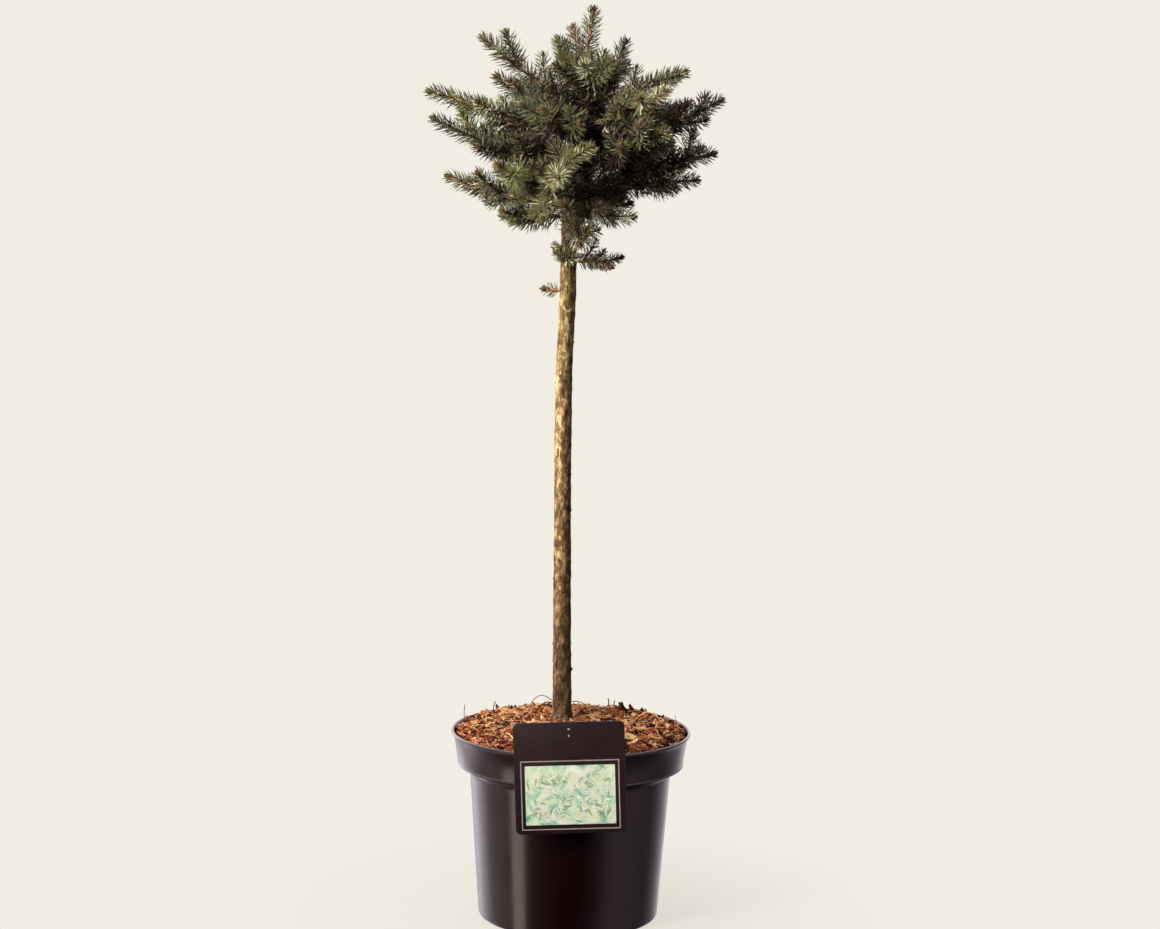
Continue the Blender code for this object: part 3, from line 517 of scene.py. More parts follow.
# Label: a black card of printed plastic with round corners, which stands against the
# pot's lip. It carries a thin pale frame line and a pale green picture of arching fronds,
# and the rest of its face is bare.
CARD_WIDTH = 0.115
CARD_HEIGHT = 0.117
CARD_THICKNESS = 0.001
CARD_CORNER = 0.006
CARD_MIDDLE = Vector((0.0, -LIP_RADIUS - 0.0006, 0.182))
CARD_TURN = math.radians(2.6)
FRAME_SIZE = (0.1020, 0.0728)
FRAME_LINE = 0.0011
PICTURE_SIZE = (0.0930, 0.0622)
PICTURE_DROP = 0.0180
PRINT_THICKNESS = 0.00006


def lay_card(piece):
    """Stand a flat piece, modelled on the ground plane, up against the lip and tilt it."""
    upright = Matrix.Rotation(math.radians(90), 4, "X")
    piece.data.transform(Matrix.Translation(CARD_MIDDLE) @ Matrix.Rotation(-CARD_TURN, 4, "Y") @ upright)
    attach(piece, "root")
    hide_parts("plant_label")


def flat_plate(name, size, drop=0.0, level=0.0):
    """Flat rectangle on the ground plane, left in edit mode with all of it selected."""
    bpy.ops.object.select_all(action="DESELECT")
    bpy.ops.mesh.primitive_plane_add(size=1.0, location=(0.0, -drop, level))
    plate = bpy.context.object
    plate.name = name
    plate.scale = (size[0], size[1], 1.0)
    bpy.ops.object.transform_apply()
    bpy.ops.object.mode_set(mode="EDIT")
    bpy.ops.mesh.select_all(action="SELECT")
    return plate


def thicken(rise):
    """Extrude what is selected upwards, turn the faces outwards and leave edit mode."""
    bpy.ops.mesh.extrude_region_move(TRANSFORM_OT_translate={"value": (0.0, 0.0, rise)})
    bpy.ops.mesh.select_all(action="SELECT")
    bpy.ops.mesh.normals_make_consistent(inside=False)
    bpy.ops.object.mode_set(mode="OBJECT")


def printed_card():
    finish, shader = new_finish("printed_card", (0.014, 0.007, 0.008), 0.4)
    place = own_place(finish)
    base = ramp(finish, noise(finish, place, 55.0, 4.0), [(0.3, (0.0135, 0.0058, 0.0065)),
                                                          (0.8, (0.0220, 0.0100, 0.0110))])
    shine = ramp(finish, noise(finish, place, 140.0, 5.0), [(0.3, 0.34), (0.8, 0.46)])
    grain = relief(finish, noise(finish, place, 1400.0, 2.0), 0.04, 0.0002)
    dress(finish, shader, Base_Color=base, Roughness=shine, Normal=grain)
    return finish


def printed_ink(name, colour):
    """Finish of printed ink, a little uneven where the card's grain shows through."""
    finish, shader = new_finish(name, colour, 0.42)
    worn = noise(finish, own_place(finish), 420.0, 4.0, 0.65)
    thin = tuple(0.62 * value for value in colour)
    dress(finish, shader, Base_Color=ramp(finish, worn, [(0.30, thin), (0.55, colour)]))
    return finish


def washed_green():
    finish, shader = new_finish("washed_green", (0.80, 0.93, 0.74), 0.42)
    place = own_place(finish)
    wash = ramp(finish, noise(finish, place, 62.0, 4.0, 0.6, 0.8),
                [(0.30, (0.10, 0.44, 0.33)), (0.42, (0.46, 0.78, 0.56)), (0.53, (0.84, 0.96, 0.70)),
                 (0.66, (1.0, 1.0, 0.90))])
    grit = ramp(finish, noise(finish, place, 900.0, 3.0, 0.7), [(0.35, 0.84), (0.65, 1.0)])
    dress(finish, shader, Base_Color=blend_colours(finish, 1.0, wash, grit, "MULTIPLY"))
    return finish


card = flat_plate("label_card", (CARD_WIDTH, CARD_HEIGHT))
bpy.ops.mesh.bevel(offset=CARD_CORNER, segments=8, affect="VERTICES")
thicken(CARD_THICKNESS)
apply_modifier(card, "BEVEL", width=0.00022, segments=2, limit_method="ANGLE",
               angle_limit=math.radians(60))
card.data.materials.append(printed_card())
smooth_by_angle(card, 40)
lay_card(card)

frame_line = flat_plate("label_frame_line", FRAME_SIZE, PICTURE_DROP, CARD_THICKNESS - 0.00002)
bpy.ops.mesh.inset(thickness=FRAME_LINE)
bpy.ops.mesh.delete(type="FACE")
bpy.ops.mesh.select_all(action="SELECT")
thicken(PRINT_THICKNESS + 0.00002)
frame_line.data.materials.append(printed_ink("frame_ink", (0.44, 0.39, 0.38)))
lay_card(frame_line)

picture = flat_plate("label_picture", PICTURE_SIZE, PICTURE_DROP, CARD_THICKNESS - 0.00002)
thicken(PRINT_THICKNESS + 0.00002)
picture.data.materials.append(washed_green())
lay_card(picture)


def leaf_blade(middle, heading, length, tone):
    """Flat lancet leaf printed on the picture, a closed sliver of a few faces."""
    level = CARD_THICKNESS + PRINT_THICKNESS
    along = np.array((math.cos(heading), math.sin(heading), 0.0))
    across = np.array((-along[1], along[0], 0.0))
    shares = ((0.0, 0.0), (0.22, 0.70), (0.5, 1.0), (0.78, 0.62), (1.0, 0.0))
    left = [middle + along * length * (s - 0.5) + across * 0.11 * length * w for s, w in shares]
    right = [middle + along * length * (s - 0.5) - across * 0.11 * length * w for s, w in shares[1:-1]]
    top = np.array(left + right[::-1]) + (0.0, 0.0, level + PRINT_THICKNESS)
    bottom = top - (0.0, 0.0, 2 * PRINT_THICKNESS)
    count = len(top)
    faces = [(0, k + 1, k) for k in range(1, count - 1)]
    faces += [(count, count + k, count + k + 1) for k in range(1, count - 1)]
    for k in range(count):
        j = (k + 1) % count
        faces += [(k, j, count + j), (k, count + j, count + k)]
    return np.concatenate([top, bottom]), np.array(faces), tone


LEAF_TONES = (
    ("leaf_mint", (0.66, 0.90, 0.70)),
    ("leaf_cream_green", (0.90, 0.96, 0.66)),
    ("leaf_teal", (0.28, 0.62, 0.46)),
    ("leaf_olive", (0.47, 0.54, 0.24)),
    ("leaf_white_green", (0.97, 0.99, 0.92)),
)
LEAF_WEIGHTS = (5, 9, 3, 4, 6)
# Fronds of the picture: where each starts on it, its heading and how far it bends, in
# degrees, and its length
FRONDS = (
    ((-0.043, -0.022), 62, -50, 0.046), ((-0.036, -0.028), 30, -34, 0.052),
    ((-0.044, 0.004), 44, -56, 0.030), ((-0.014, -0.029), 78, -40, 0.050),
    ((0.002, -0.028), 40, 30, 0.046), ((0.014, -0.010), 96, -60, 0.036),
    ((0.020, -0.029), 70, -44, 0.048), ((0.038, -0.028), 104, 40, 0.040),
    ((-0.022, 0.006), 70, -76, 0.028), ((0.030, 0.002), 60, 34, 0.026),
    ((-0.034, 0.014), 20, -30, 0.026), ((0.006, 0.012), 10, 40, 0.030),
)
leaf_dice = random.Random(58)
leaves = []
for start, heading, bend, run in FRONDS:
    spot, count = np.array((*start, 0.0)), int(run / 0.0019)
    for k in range(count):
        turned = math.radians(heading + bend * k / count)
        spot = spot + 0.0019 * np.array((math.cos(turned), math.sin(turned), 0.0))
        for side in (-1, 1):
            aside = turned + side * math.radians(leaf_dice.uniform(38, 56))
            length = leaf_dice.uniform(0.85, 1.15) * (0.0104 * (1.0 - 0.6 * k / count))
            middle = spot + length / 2 * np.array((math.cos(aside), math.sin(aside), 0.0))
            tone = leaf_dice.choices(range(5), LEAF_WEIGHTS)[0]
            blade = leaf_blade(middle - (0.0, PICTURE_DROP, 0.0), aside, length, tone)
            reach = np.abs(blade[0][:, :2] + (0.0, PICTURE_DROP)).max(axis=0)
            if (reach < (PICTURE_SIZE[0] / 2 - 0.0006, PICTURE_SIZE[1] / 2 - 0.0006)).all():
                blade[0][:, 2] += 0.00000004 * len(leaves)
                leaves.append(blade)
printed_leaves = join_arrays("label_leaves", leaves,
                             [printed_ink(name, colour) for name, colour in LEAF_TONES])
lay_card(printed_leaves)

# Hook of the label: a flat strip of the same plastic that leaves the back of the card,
# bends over the lip and is pushed down into the mulch. Two small pins rivet it through.
HOOK_WIDTH = 0.014
HOOK_THICKNESS = 0.0014
HOOK_INNER = -0.1165
HOOK_TOP = 0.2330
HOOK_LAP = 0.016
HOOK_FOOT = 0.178
RIVETS = ((0.0510, 0.0012), (0.0440, 0.0009))

card_back = CARD_MIDDLE.y - 0.0001
strip_run = [(HOOK_INNER - HOOK_THICKNESS / 2, HOOK_FOOT), (HOOK_INNER - HOOK_THICKNESS / 2, HOOK_TOP - 0.006)]
strip_run += [(HOOK_INNER - 0.0062 + 0.0055 * math.cos(angle), HOOK_TOP - 0.0062 + 0.0055 * math.sin(angle))
              for angle in np.radians((15, 35, 60, 85))]
strip_run += [(card_back + 0.0055 + 0.0048 * math.cos(angle), HOOK_TOP - 0.0055 + 0.0048 * math.sin(angle))
              for angle in np.radians((95, 120, 145, 170))]
strip_run += [(card_back + HOOK_THICKNESS / 2, HOOK_TOP - 0.008), (card_back + HOOK_THICKNESS / 2,
                                                                  HOOK_TOP - HOOK_LAP)]
bpy.ops.object.select_all(action="DESELECT")
bpy.ops.mesh.primitive_plane_add(size=1.0)
hook = bpy.context.object
hook.name = "label_hook"
bpy.ops.object.mode_set(mode="EDIT")
bpy.ops.mesh.select_all(action="SELECT")
bpy.ops.transform.resize(value=(HOOK_WIDTH, 0.0, 1.0))
bpy.ops.mesh.remove_doubles(threshold=0.0001)
bpy.ops.transform.translate(value=(0.0, strip_run[0][0], strip_run[0][1]))
for before, after in zip(strip_run, strip_run[1:]):
    bpy.ops.mesh.extrude_region_move(TRANSFORM_OT_translate={
        "value": (0.0, after[0] - before[0], after[1] - before[1])})
bpy.ops.object.mode_set(mode="OBJECT")
apply_modifier(hook, "SOLIDIFY", thickness=HOOK_THICKNESS, offset=0.0)
apply_modifier(hook, "BEVEL", width=0.0003, segments=2, limit_method="ANGLE",
               angle_limit=math.radians(50))
hook.data.materials.append(card.data.materials[0])
hook.data.transform(Matrix.Translation((0, 0, CARD_MIDDLE.z)) @ Matrix.Rotation(-CARD_TURN, 4, "Y")
                    @ Matrix.Translation((0, 0, -CARD_MIDDLE.z)))
smooth_by_angle(hook, 40)
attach(hook, "root")
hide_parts("plant_label")


def rivet_plastic():
    finish, shader = new_finish("rivet_plastic", (0.45, 0.43, 0.42), 0.35)
    cloud = noise(finish, own_place(finish), 900.0, 3.0)
    dress(finish, shader, Base_Color=ramp(finish, cloud, [(0.3, (0.30, 0.28, 0.28)), (0.7, (0.55, 0.53, 0.52))]))
    return finish


pins = []
for height, radius in RIVETS:
    bpy.ops.object.select_all(action="DESELECT")
    bpy.ops.mesh.primitive_uv_sphere_add(segments=20, ring_count=12, radius=radius,
                                         location=(0.0, height, CARD_THICKNESS))
    pin = bpy.context.object
    pin.scale = (1.0, 1.0, 0.45)
    bpy.ops.object.transform_apply()
    pins.append(pin)
rivets = join_pieces(pins)
rivets.name = "label_rivets"
rivets.data.materials.append(rivet_plastic())
smooth_by_angle(rivets, 60)
lay_card(rivets)

# Stem: the clear trunk of the rootstock, a finger thick, from the mulch up to the swollen
# graft and on into the crown. Its bark is thin and scaly, golden tan with olive patches,
# and has scars and stubs where twigs were trimmed off.
TRUNK_STATIONS = (
    (0.2128, -0.0098, 0.0000, 0.0142),
    (0.2185, -0.0099, 0.0000, 0.0116),
    (0.2320, -0.0101, 0.0000, 0.0104),
    (0.2710, -0.0108, 0.0005, 0.0100),
    (0.4540, -0.0134, 0.0020, 0.0092),
    (0.5770, -0.0142, 0.0010, 0.0089),
    (0.6700, -0.0118, 0.0000, 0.0087),
    (0.7330, -0.0108, 0.0000, 0.0088),
    (0.7540, -0.0096, 0.0005, 0.0098),
    (0.7750, -0.0055, 0.0010, 0.0078),
    (0.8280, 0.0085, 0.0030, 0.0056),
    (0.8747, 0.0180, 0.0020, 0.0041),
    (0.8924, 0.0140, 0.0000, 0.0035),
    (0.9141, 0.0023, 0.0000, 0.0028),
)
TRUNK_RING_STEP = 0.006
SCAR_COUNT = 34
STUB_COUNT = 90
BARK_GRAIN = 0.00105


def catmull_rom(rows, key):
    """Row of values at a key, on a smooth curve through rows sorted by their first value."""
    keys = [row[0] for row in rows]
    i = min(max(int(np.searchsorted(keys, key)) - 1, 0), len(rows) - 2)
    before, here, there, after = (np.array(rows[min(max(k, 0), len(rows) - 1)], dtype=float)
                                  for k in (i - 1, i, i + 1, i + 2))
    span = there[0] - here[0]
    t = (key - here[0]) / span
    slope_here = (there - before) / (there[0] - before[0]) * span
    slope_there = (after - here) / (after[0] - here[0]) * span
    return ((2 * t**3 - 3 * t**2 + 1) * here + (t**3 - 2 * t**2 + t) * slope_here
            + (3 * t**2 - 2 * t**3) * there + (t**3 - t**2) * slope_there)


def trunk_at(height):
    """Middle and radius of the trunk at a height."""
    _, x, y, radius = catmull_rom(TRUNK_STATIONS, height)
    return np.array((x, y, height)), radius


def scaly_bark():
    finish, shader = new_finish("scaly_bark", (0.36, 0.24, 0.10), 0.85)
    shader.inputs["Specular IOR Level"].default_value = 0.25
    place = own_place(finish)
    long_place = own_place(finish, (1.0, 1.0, 2.4))
    mottle = noise(finish, long_place, 210.0, 7.0, 0.72, 0.6)
    tan = ramp(finish, mottle, [(0.38, (0.045, 0.022, 0.008)), (0.485, (0.210, 0.122, 0.050)),
                                (0.59, (0.610, 0.465, 0.285))])
    olive = ramp(finish, mottle, [(0.38, (0.026, 0.017, 0.006)), (0.50, (0.127, 0.090, 0.033)),
                                  (0.61, (0.435, 0.350, 0.190))])
    patches = ramp(finish, noise(finish, long_place, 62.0, 4.0, 0.6, 0.8), [(0.46, 0.0), (0.62, 0.9)])
    mottled = blend_colours(finish, patches, tan, olive)
    rust = ramp(finish, noise(finish, place, 96.0, 4.0, 0.6, 1.4), [(0.57, 0.0), (0.68, 0.6)])
    warm = blend_colours(finish, rust, mottled, (0.205, 0.080, 0.030))
    height = add_node(finish, "ShaderNodeSeparateXYZ", {"Vector": place}).outputs["Z"]
    # Tone by height: darker towards the foot, greenish just under the graft, and painted shade from the graft up
    # into the crown, a dark brown that cuts the bark to about a third where the crown's shade falls on the stem
    height_tone_and_crown_shade = ramp(finish, height, [(0.24, (0.52, 0.47, 0.42)), (0.36, (0.60, 0.56, 0.50)),
                                     (0.54, (0.92, 0.90, 0.86)), (0.685, (0.92, 0.96, 0.72)),
                                     (0.720, (0.34, 0.26, 0.19))])
    blotches = ramp(finish, noise(finish, long_place, 150.0, 5.0, 0.65, 0.8), [(0.40, 1.0), (0.58, 0.0)])
    worn = ramp(finish, height, [(0.30, 0.55), (0.58, 0.25)])
    dark_share = blend_colours(finish, 1.0, blotches, worn, "MULTIPLY")
    stained = blend_colours(finish, dark_share, warm, (0.046, 0.026, 0.013))
    stained_and_crown_shaded = blend_colours(finish, 1.0, stained, height_tone_and_crown_shade, "MULTIPLY")
    curls = noise(finish, own_place(finish, (1.0, 1.0, 1.5)), 190.0, 3.0, 0.6, 1.6)
    cracks = ramp(finish, curls, [(0.470, 0.0), (0.492, 1.0), (0.504, 1.0), (0.526, 0.0)])
    cracked = ramp(finish, noise(finish, place, 70.0, 3.0), [(0.40, 0.20), (0.56, 1.0)])
    share = blend_colours(finish, 1.0, cracks, cracked, "MULTIPLY")
    base = blend_colours(finish, share, stained_and_crown_shaded, (0.014, 0.007, 0.004))
    grooves = relief(finish, ramp(finish, curls, [(0.465, 1.0), (0.498, 0.0), (0.530, 1.0)]), 0.5, 0.0007)
    grain = relief(finish, mottle, 0.6, 0.0008, grooves)
    dress(finish, shader, Base_Color=base, Normal=grain)
    return finish


heights = np.arange(TRUNK_STATIONS[0][0], TRUNK_STATIONS[-1][0], TRUNK_RING_STEP)
trunk_rings = [(trunk_at(height)[1], height, *trunk_at(height)[0][:2]) for height in heights]
trunk = draw_up("bark_trunk", trunk_rings, 36)
trunk_dice = random.Random(4)
knots = [trunk]
for k in range(SCAR_COUNT + STUB_COUNT):
    is_scar = k < SCAR_COUNT
    height = trunk_dice.uniform(0.236, 0.742)
    middle, radius = trunk_at(height)
    azimuth = trunk_dice.uniform(0.0, 2 * math.pi)
    size = trunk_dice.uniform(0.0026, 0.0044) if is_scar else trunk_dice.uniform(0.0009, 0.0016)
    sunk = 0.55 * size if is_scar else 0.1 * size
    away = np.array((math.cos(azimuth), math.sin(azimuth), 0.0))
    bpy.ops.object.select_all(action="DESELECT")
    bpy.ops.mesh.primitive_ico_sphere_add(subdivisions=2, radius=size,
                                          location=middle + away * (radius - sunk),
                                          rotation=(0.0, math.radians(90), azimuth))
    knot = bpy.context.object
    knot.scale = (1.25, 0.8, 0.62) if is_scar else (0.8, 0.8, 1.3)
    bpy.ops.object.transform_apply()
    knots.append(knot)
trunk = join_pieces(knots)
apply_modifier(trunk, "REMESH", mode="VOXEL", voxel_size=BARK_GRAIN)
bpy.ops.object.empty_add(scale=(1.0, 1.0, 1.0))
stretcher = bpy.context.object
stretcher.scale = (1.0, 1.0, 2.2)
bpy.context.view_layer.update()
for name, size, depth in (("bark_swells", 0.016, 0.0012), ("bark_plates", 0.0042, 0.0013)):
    texture = bpy.data.textures.new(name, "CLOUDS")
    texture.noise_scale = size
    texture.noise_depth = 2
    apply_modifier(trunk, "DISPLACE", texture=texture, strength=depth, mid_level=0.5,
                   texture_coords="OBJECT", texture_coords_object=stretcher)
bpy.data.objects.remove(stretcher)
trunk.data.materials.clear()
trunk.data.materials.append(scaly_bark())
smooth_by_angle(trunk, 80)
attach(trunk, "root")
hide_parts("trunk")

# Growth of the crown: limbs leave the trunk from the graft upwards, each first as a bare
# bough and then as a needled stem with side shoots, by the same rule as the solids. The
# rule then goes on to the short twigs that fill the crown's inside, and leaves the outer
# ends single, with sky between them.
BOUGH_SHARE = 0.20
BOUGH_TIP_RADIUS = 0.0019
BOUGH_ROOT_SHARE = 0.48
BOUGH_LEAST_TAPER = 1.2
ROOT_HALF_WIDTH = 0.005
CORE_RADIUS = 0.0017
STEM_CORE_RADIUS = 0.00196
CORE_TIP_RADIUS = 0.0011
RING_STEP = 0.0078
SIDE_SHOOT_LENGTH = 0.052
SIDE_SHOOT_SHORTEST = 0.024
SIDE_SHOOT_FIRST = 0.12
SIDE_SHOOT_SPAN = 0.55
SIDE_SHOOT_SCATTER = (0.10, 0.60)
SIDE_SHOOT_VARIETY = (0.80, 1.10)
SIDE_SHOOT_TAPER = (1.1, 0.45)
SIDE_SHOOT_SWAY = 25
SIDE_SHOOT_TURN_UP = 0.10
SIDE_SHOOT_BOW = 0.03
SHOOT_AIR = 0.0105
ROOT_FREE_RUN = 0.012
ROLL_TRIES = 8
CROWN_SEED = 101
TRUNK_CLEAR_FROM = 0.66
TRUNK_CLEAR_STOPS = 40
GAP = 0.0003

# Each limb: does it start with a bare bough, the height where it leaves the trunk, its
# azimuth in degrees, its reach and height at the tip, how far its middle swings sideways
# and lifts off the straight line, then its side shoots: how many, the first one's roll
# about the limb from straight up and their angle off it, in degrees
Limb = namedtuple("Limb", "name bough root azimuth reach tip swing lift sides roll angle")
LIMBS = (
    Limb("upper_left", True, 0.862, 175, 0.123, 0.944, 0.000, -0.005, 2, 160, 28),
    Limb("inner_left", True, 0.848, -162, 0.108, 0.900, 0.000, -0.004, 2, 90, 45),
    Limb("mid_left", True, 0.838, 180, 0.172, 0.886, 0.000, 0.000, 3, 110, 42),
    Limb("lower_mid_left", True, 0.802, -167, 0.160, 0.856, 0.000, -0.005, 3, 55, 42),
    Limb("low_left", True, 0.768, 176, 0.134, 0.797, 0.000, -0.005, 3, 100, 45),
    Limb("low_left_front", True, 0.780, -140, 0.106, 0.809, 0.000, -0.006, 2, 90, 45),
    Limb("bottom_left", False, 0.755, -172, 0.073, 0.757, 0.000, 0.002, 2, 95, 40),
    Limb("front_centre", True, 0.770, -82, 0.118, 0.827, -0.034, -0.008, 3, 160, 50),
    Limb("right_front", True, 0.843, -48, 0.108, 0.886, 0.000, -0.002, 3, 90, 45),
    Limb("right_upper", True, 0.866, 4, 0.092, 0.911, 0.000, 0.006, 1, 90, 40),
    Limb("far_right", True, 0.826, 0, 0.138, 0.882, 0.000, -0.005, 3, 240, 36),
    Limb("right_mid_back", True, 0.846, 36, 0.110, 0.876, 0.000, 0.000, 3, 90, 45),
    Limb("right_tuft", True, 0.806, -40, 0.110, 0.845, 0.000, 0.000, 3, 90, 45),
    Limb("right_low", True, 0.794, 4, 0.141, 0.826, 0.000, 0.000, 3, 90, 40),
    Limb("right_lowest", True, 0.776, 12, 0.132, 0.798, 0.000, 0.004, 2, 50, 42),
    Limb("bottom_right", False, 0.760, -8, 0.040, 0.768, 0.000, 0.002, 2, 200, 40),
    Limb("centre_tuft", True, 0.826, -118, 0.100, 0.865, 0.000, 0.000, 3, 90, 45),
    Limb("rear_upper_left", True, 0.852, 132, 0.108, 0.880, 0.000, 0.000, 3, 90, 45),
    Limb("rear_mid", True, 0.840, 88, 0.140, 0.868, 0.000, 0.000, 3, 90, 42),
    Limb("rear_mid_left", True, 0.814, 148, 0.140, 0.842, 0.000, 0.000, 3, 90, 42),
    Limb("rear_mid_right", True, 0.812, 52, 0.135, 0.832, 0.000, 0.000, 3, 90, 42),
    Limb("rear_low", True, 0.793, 104, 0.130, 0.796, 0.000, 0.000, 3, 90, 42),
    Limb("top_left_back", False, 0.888, 132, 0.040, 0.957, 0.000, -0.004, 1, 180, 35),
    Limb("top_left_front", False, 0.868, -152, 0.050, 0.941, 0.000, -0.014, 1, 60, 40),
    Limb("top_right", False, 0.880, 52, 0.044, 0.943, 0.000, -0.004, 1, 190, 45),
    Limb("high_front", False, 0.884, -104, 0.066, 0.912, 0.000, 0.002, 2, 90, 45),
    Limb("front_low", False, 0.756, -60, 0.066, 0.766, 0.000, 0.002, 1, 90, 50),
    Limb("front_hanging", False, 0.742, -72, 0.036, 0.728, 0.000, 0.004, 0, 0, 0),
    Limb("rear_low_left", False, 0.783, 148, 0.100, 0.788, 0.000, 0.000, 3, 90, 45),
    Limb("rear_low_right", False, 0.764, 50, 0.085, 0.782, 0.000, 0.000, 2, 90, 45),
    Limb("sprout_left", False, 0.710, -98, 0.023, 0.719, 0.000, -0.003, 0, 0, 0),
    Limb("sprout_right", False, 0.710, -4, 0.044, 0.705, 0.000, 0.002, 1, 250, 35),
    Limb("sprig", False, 0.678, -176, 0.025, 0.680, 0.000, 0.000, 0, 0, 0),
)
LEADER_LENGTH = 0.060
LEADER_LEAN = np.array((0.140, 0.0, 1.0))

# Short twigs: how far apart they start along a wood, how long they grow, how much air they
# keep, and the round core of the crown that they start in
TWIG_SPACING = 0.0110
TWIG_LAST_SHARE = 0.70
TWIG_LONGEST = 0.034
TWIG_SHORTEST = 0.011
TWIG_AIR = 0.0070
CORE_MIDDLE = np.array((0.006, 0.0, 0.832))
CORE_REACH = np.array((0.083, 0.083, 0.072))
INNER_TWIG_LENGTH = 0.040
INNER_TWIG_STEP = 0.0050

# Twigs that the rule leaves out and the crown has: the limb, the share of its stem where
# they start, their roll and angle in degrees, and their length
OTHER_TWIGS = (
    ("right_low", 0.70, 0, 62, 0.040),
    ("front_hanging", 0.10, 270, 60, 0.026),
    ("front_hanging", 0.25, 180, 55, 0.026),
    ("front_hanging", 0.40, 90, 50, 0.022),
    ("front_hanging", 0.55, 225, 50, 0.018),
    ("front_low", 0.15, 180, 60, 0.028),
    ("sprout_left", 0.10, 90, 75, 0.020),
    ("sprout_left", 0.10, 270, 75, 0.020),
    ("sprout_left", 0.25, 0, 60, 0.018),
    ("sprout_left", 0.25, 180, 60, 0.018),
    ("sprout_left", 0.45, 45, 50, 0.014),
    ("sprout_left", 0.45, 225, 50, 0.014),
    ("sprout_right", 0.20, 0, 55, 0.024),
    ("sprout_right", 0.40, 90, 50, 0.020),
    ("bottom_left", 0.30, 0, 55, 0.026),
    ("bottom_left", 0.55, 0, 50, 0.024),
    ("far_right", 0.72, 200, 45, 0.028),
)

Wood = namedtuple("Wood", "points radius tip_radius")
Shoot = namedtuple("Shoot", "points radius tip_radius order")


def trunk_axis(height, step=0.004):
    """Direction of the trunk's middle line at a height."""
    return unit(trunk_at(height + step)[0] - trunk_at(height - step)[0])


def run_along(points):
    """Distance along a path to each of its points."""
    return np.concatenate(([0.0], np.cumsum(np.linalg.norm(np.diff(points, axis=0), axis=1))))


def resample(points, step):
    """The same path with its points at even steps, ends kept."""
    run = run_along(points)
    stops = np.linspace(0.0, run[-1], max(int(round(run[-1] / step)), 2) + 1)
    return np.stack([np.interp(stops, run, points[:, axis]) for axis in range(3)], axis=1)


def distance_to_path(points, path):
    """Least distance from each point to a path."""
    start = path[:-1]
    edge = path[1:] - start
    offset = points[:, None, :] - start[None, :, :]
    along = np.clip((offset * edge).sum(2) / (edge * edge).sum(1), 0.0, 1.0)
    return np.linalg.norm(offset - along[:, :, None] * edge[None], axis=2).min(axis=1)


def limb_path(limb):
    """Middle line of a limb, from the trunk's surface to its tip."""
    centre = trunk_at(limb.root)[0]
    half_width = ROOT_HALF_WIDTH if limb.bough else CORE_RADIUS
    radius = max(trunk_at(limb.root + side)[1] for side in (-half_width, 0, half_width))
    azimuth = math.radians(limb.azimuth)
    outwards = np.array((math.cos(azimuth), math.sin(azimuth), 0.0))
    sideways = np.array((-math.sin(azimuth), math.cos(azimuth), 0.0))
    upwards = np.array((0.0, 0.0, 1.0))
    axis = trunk_axis(limb.root)
    start = centre + unit(outwards - outwards.dot(axis) * axis) * (radius + GAP)
    tip = centre * (1, 1, 0) + outwards * limb.reach + upwards * limb.tip
    middle = (start + tip) / 2 + limb.swing * sideways + limb.lift * upwards
    return quadratic(start, middle, tip)


def split_path(points, length):
    """Cut a path at a length, leaving GAP between its two parts."""
    run = run_along(points)

    def at(stop):
        return np.array([np.interp(stop, run, points[:, axis]) for axis in range(3)])

    first = np.vstack([points[run < length - GAP], at(length)])
    second = np.vstack([at(length + GAP), points[run > length + 2 * GAP]])
    return first, second


def side_direction(axis, roll, angle):
    """Direction at an angle off an axis, rolled about it from straight up."""
    upwards = np.array((0.0, 0.0, 1.0)) if abs(axis[2]) < 0.95 else np.array((0.0, -1.0, 0.0))
    sideways = unit(np.cross(axis, upwards))
    lifted = np.cross(sideways, axis)
    return math.cos(angle) * axis + math.sin(angle) * (math.cos(roll) * lifted
                                                       + math.sin(roll) * sideways)


def side_shoot_path(stem, share, roll, angle, length):
    """Middle line of a shoot that leaves a stem at a share of its length and turns upwards."""
    at = int(round(share * (len(stem) - 1)))
    axis = unit(stem[min(at + 1, len(stem) - 1)] - stem[max(at - 1, 0)])
    direction = side_direction(axis, roll, angle)
    start = stem[at]
    tip = start + direction * length
    tip = tip + np.array((0.0, 0.0, SIDE_SHOOT_TURN_UP * length))
    middle = start + direction * length / 2 + axis * SIDE_SHOOT_BOW * length
    return quadratic(start, middle, tip, 12)


def clear_share(path, others):
    """Share of a shoot's length before it comes too near any of the other middle lines."""
    run = run_along(path)
    near = np.min([distance_to_path(path, other) for other in others], axis=0) < SHOOT_AIR
    near &= run > ROOT_FREE_RUN
    return 1.0 if not near.any() else run[np.argmax(near)] / run[-1]


def grow_stems():
    """Boughs by name, and each mass's stem in a list of its own, as the solids have them."""
    boughs, masses = {}, {}
    for limb in LIMBS:
        stem = limb_path(limb)
        if limb.bough:
            wood, stem = split_path(stem, BOUGH_SHARE * run_along(stem)[-1])
            root_radius = BOUGH_ROOT_SHARE * trunk_at(limb.root)[1]
            boughs[limb.name] = Wood(wood, max(root_radius, BOUGH_TIP_RADIUS * BOUGH_LEAST_TAPER),
                                     BOUGH_TIP_RADIUS)
        masses[limb.name] = [Shoot(resample(stem, RING_STEP), STEM_CORE_RADIUS, CORE_TIP_RADIUS, 0)]
    top = trunk_at(TRUNK_STATIONS[-1][0])[0]
    lean = unit(LEADER_LEAN)
    foot = top + trunk_axis(TRUNK_STATIONS[-1][0] - RING_STEP / 2) * GAP
    leader = quadratic(foot, foot + lean * LEADER_LENGTH / 2, top + lean * LEADER_LENGTH)
    masses["leader"] = [Shoot(resample(leader, RING_STEP), STEM_CORE_RADIUS, CORE_TIP_RADIUS, 0)]
    return boughs, masses


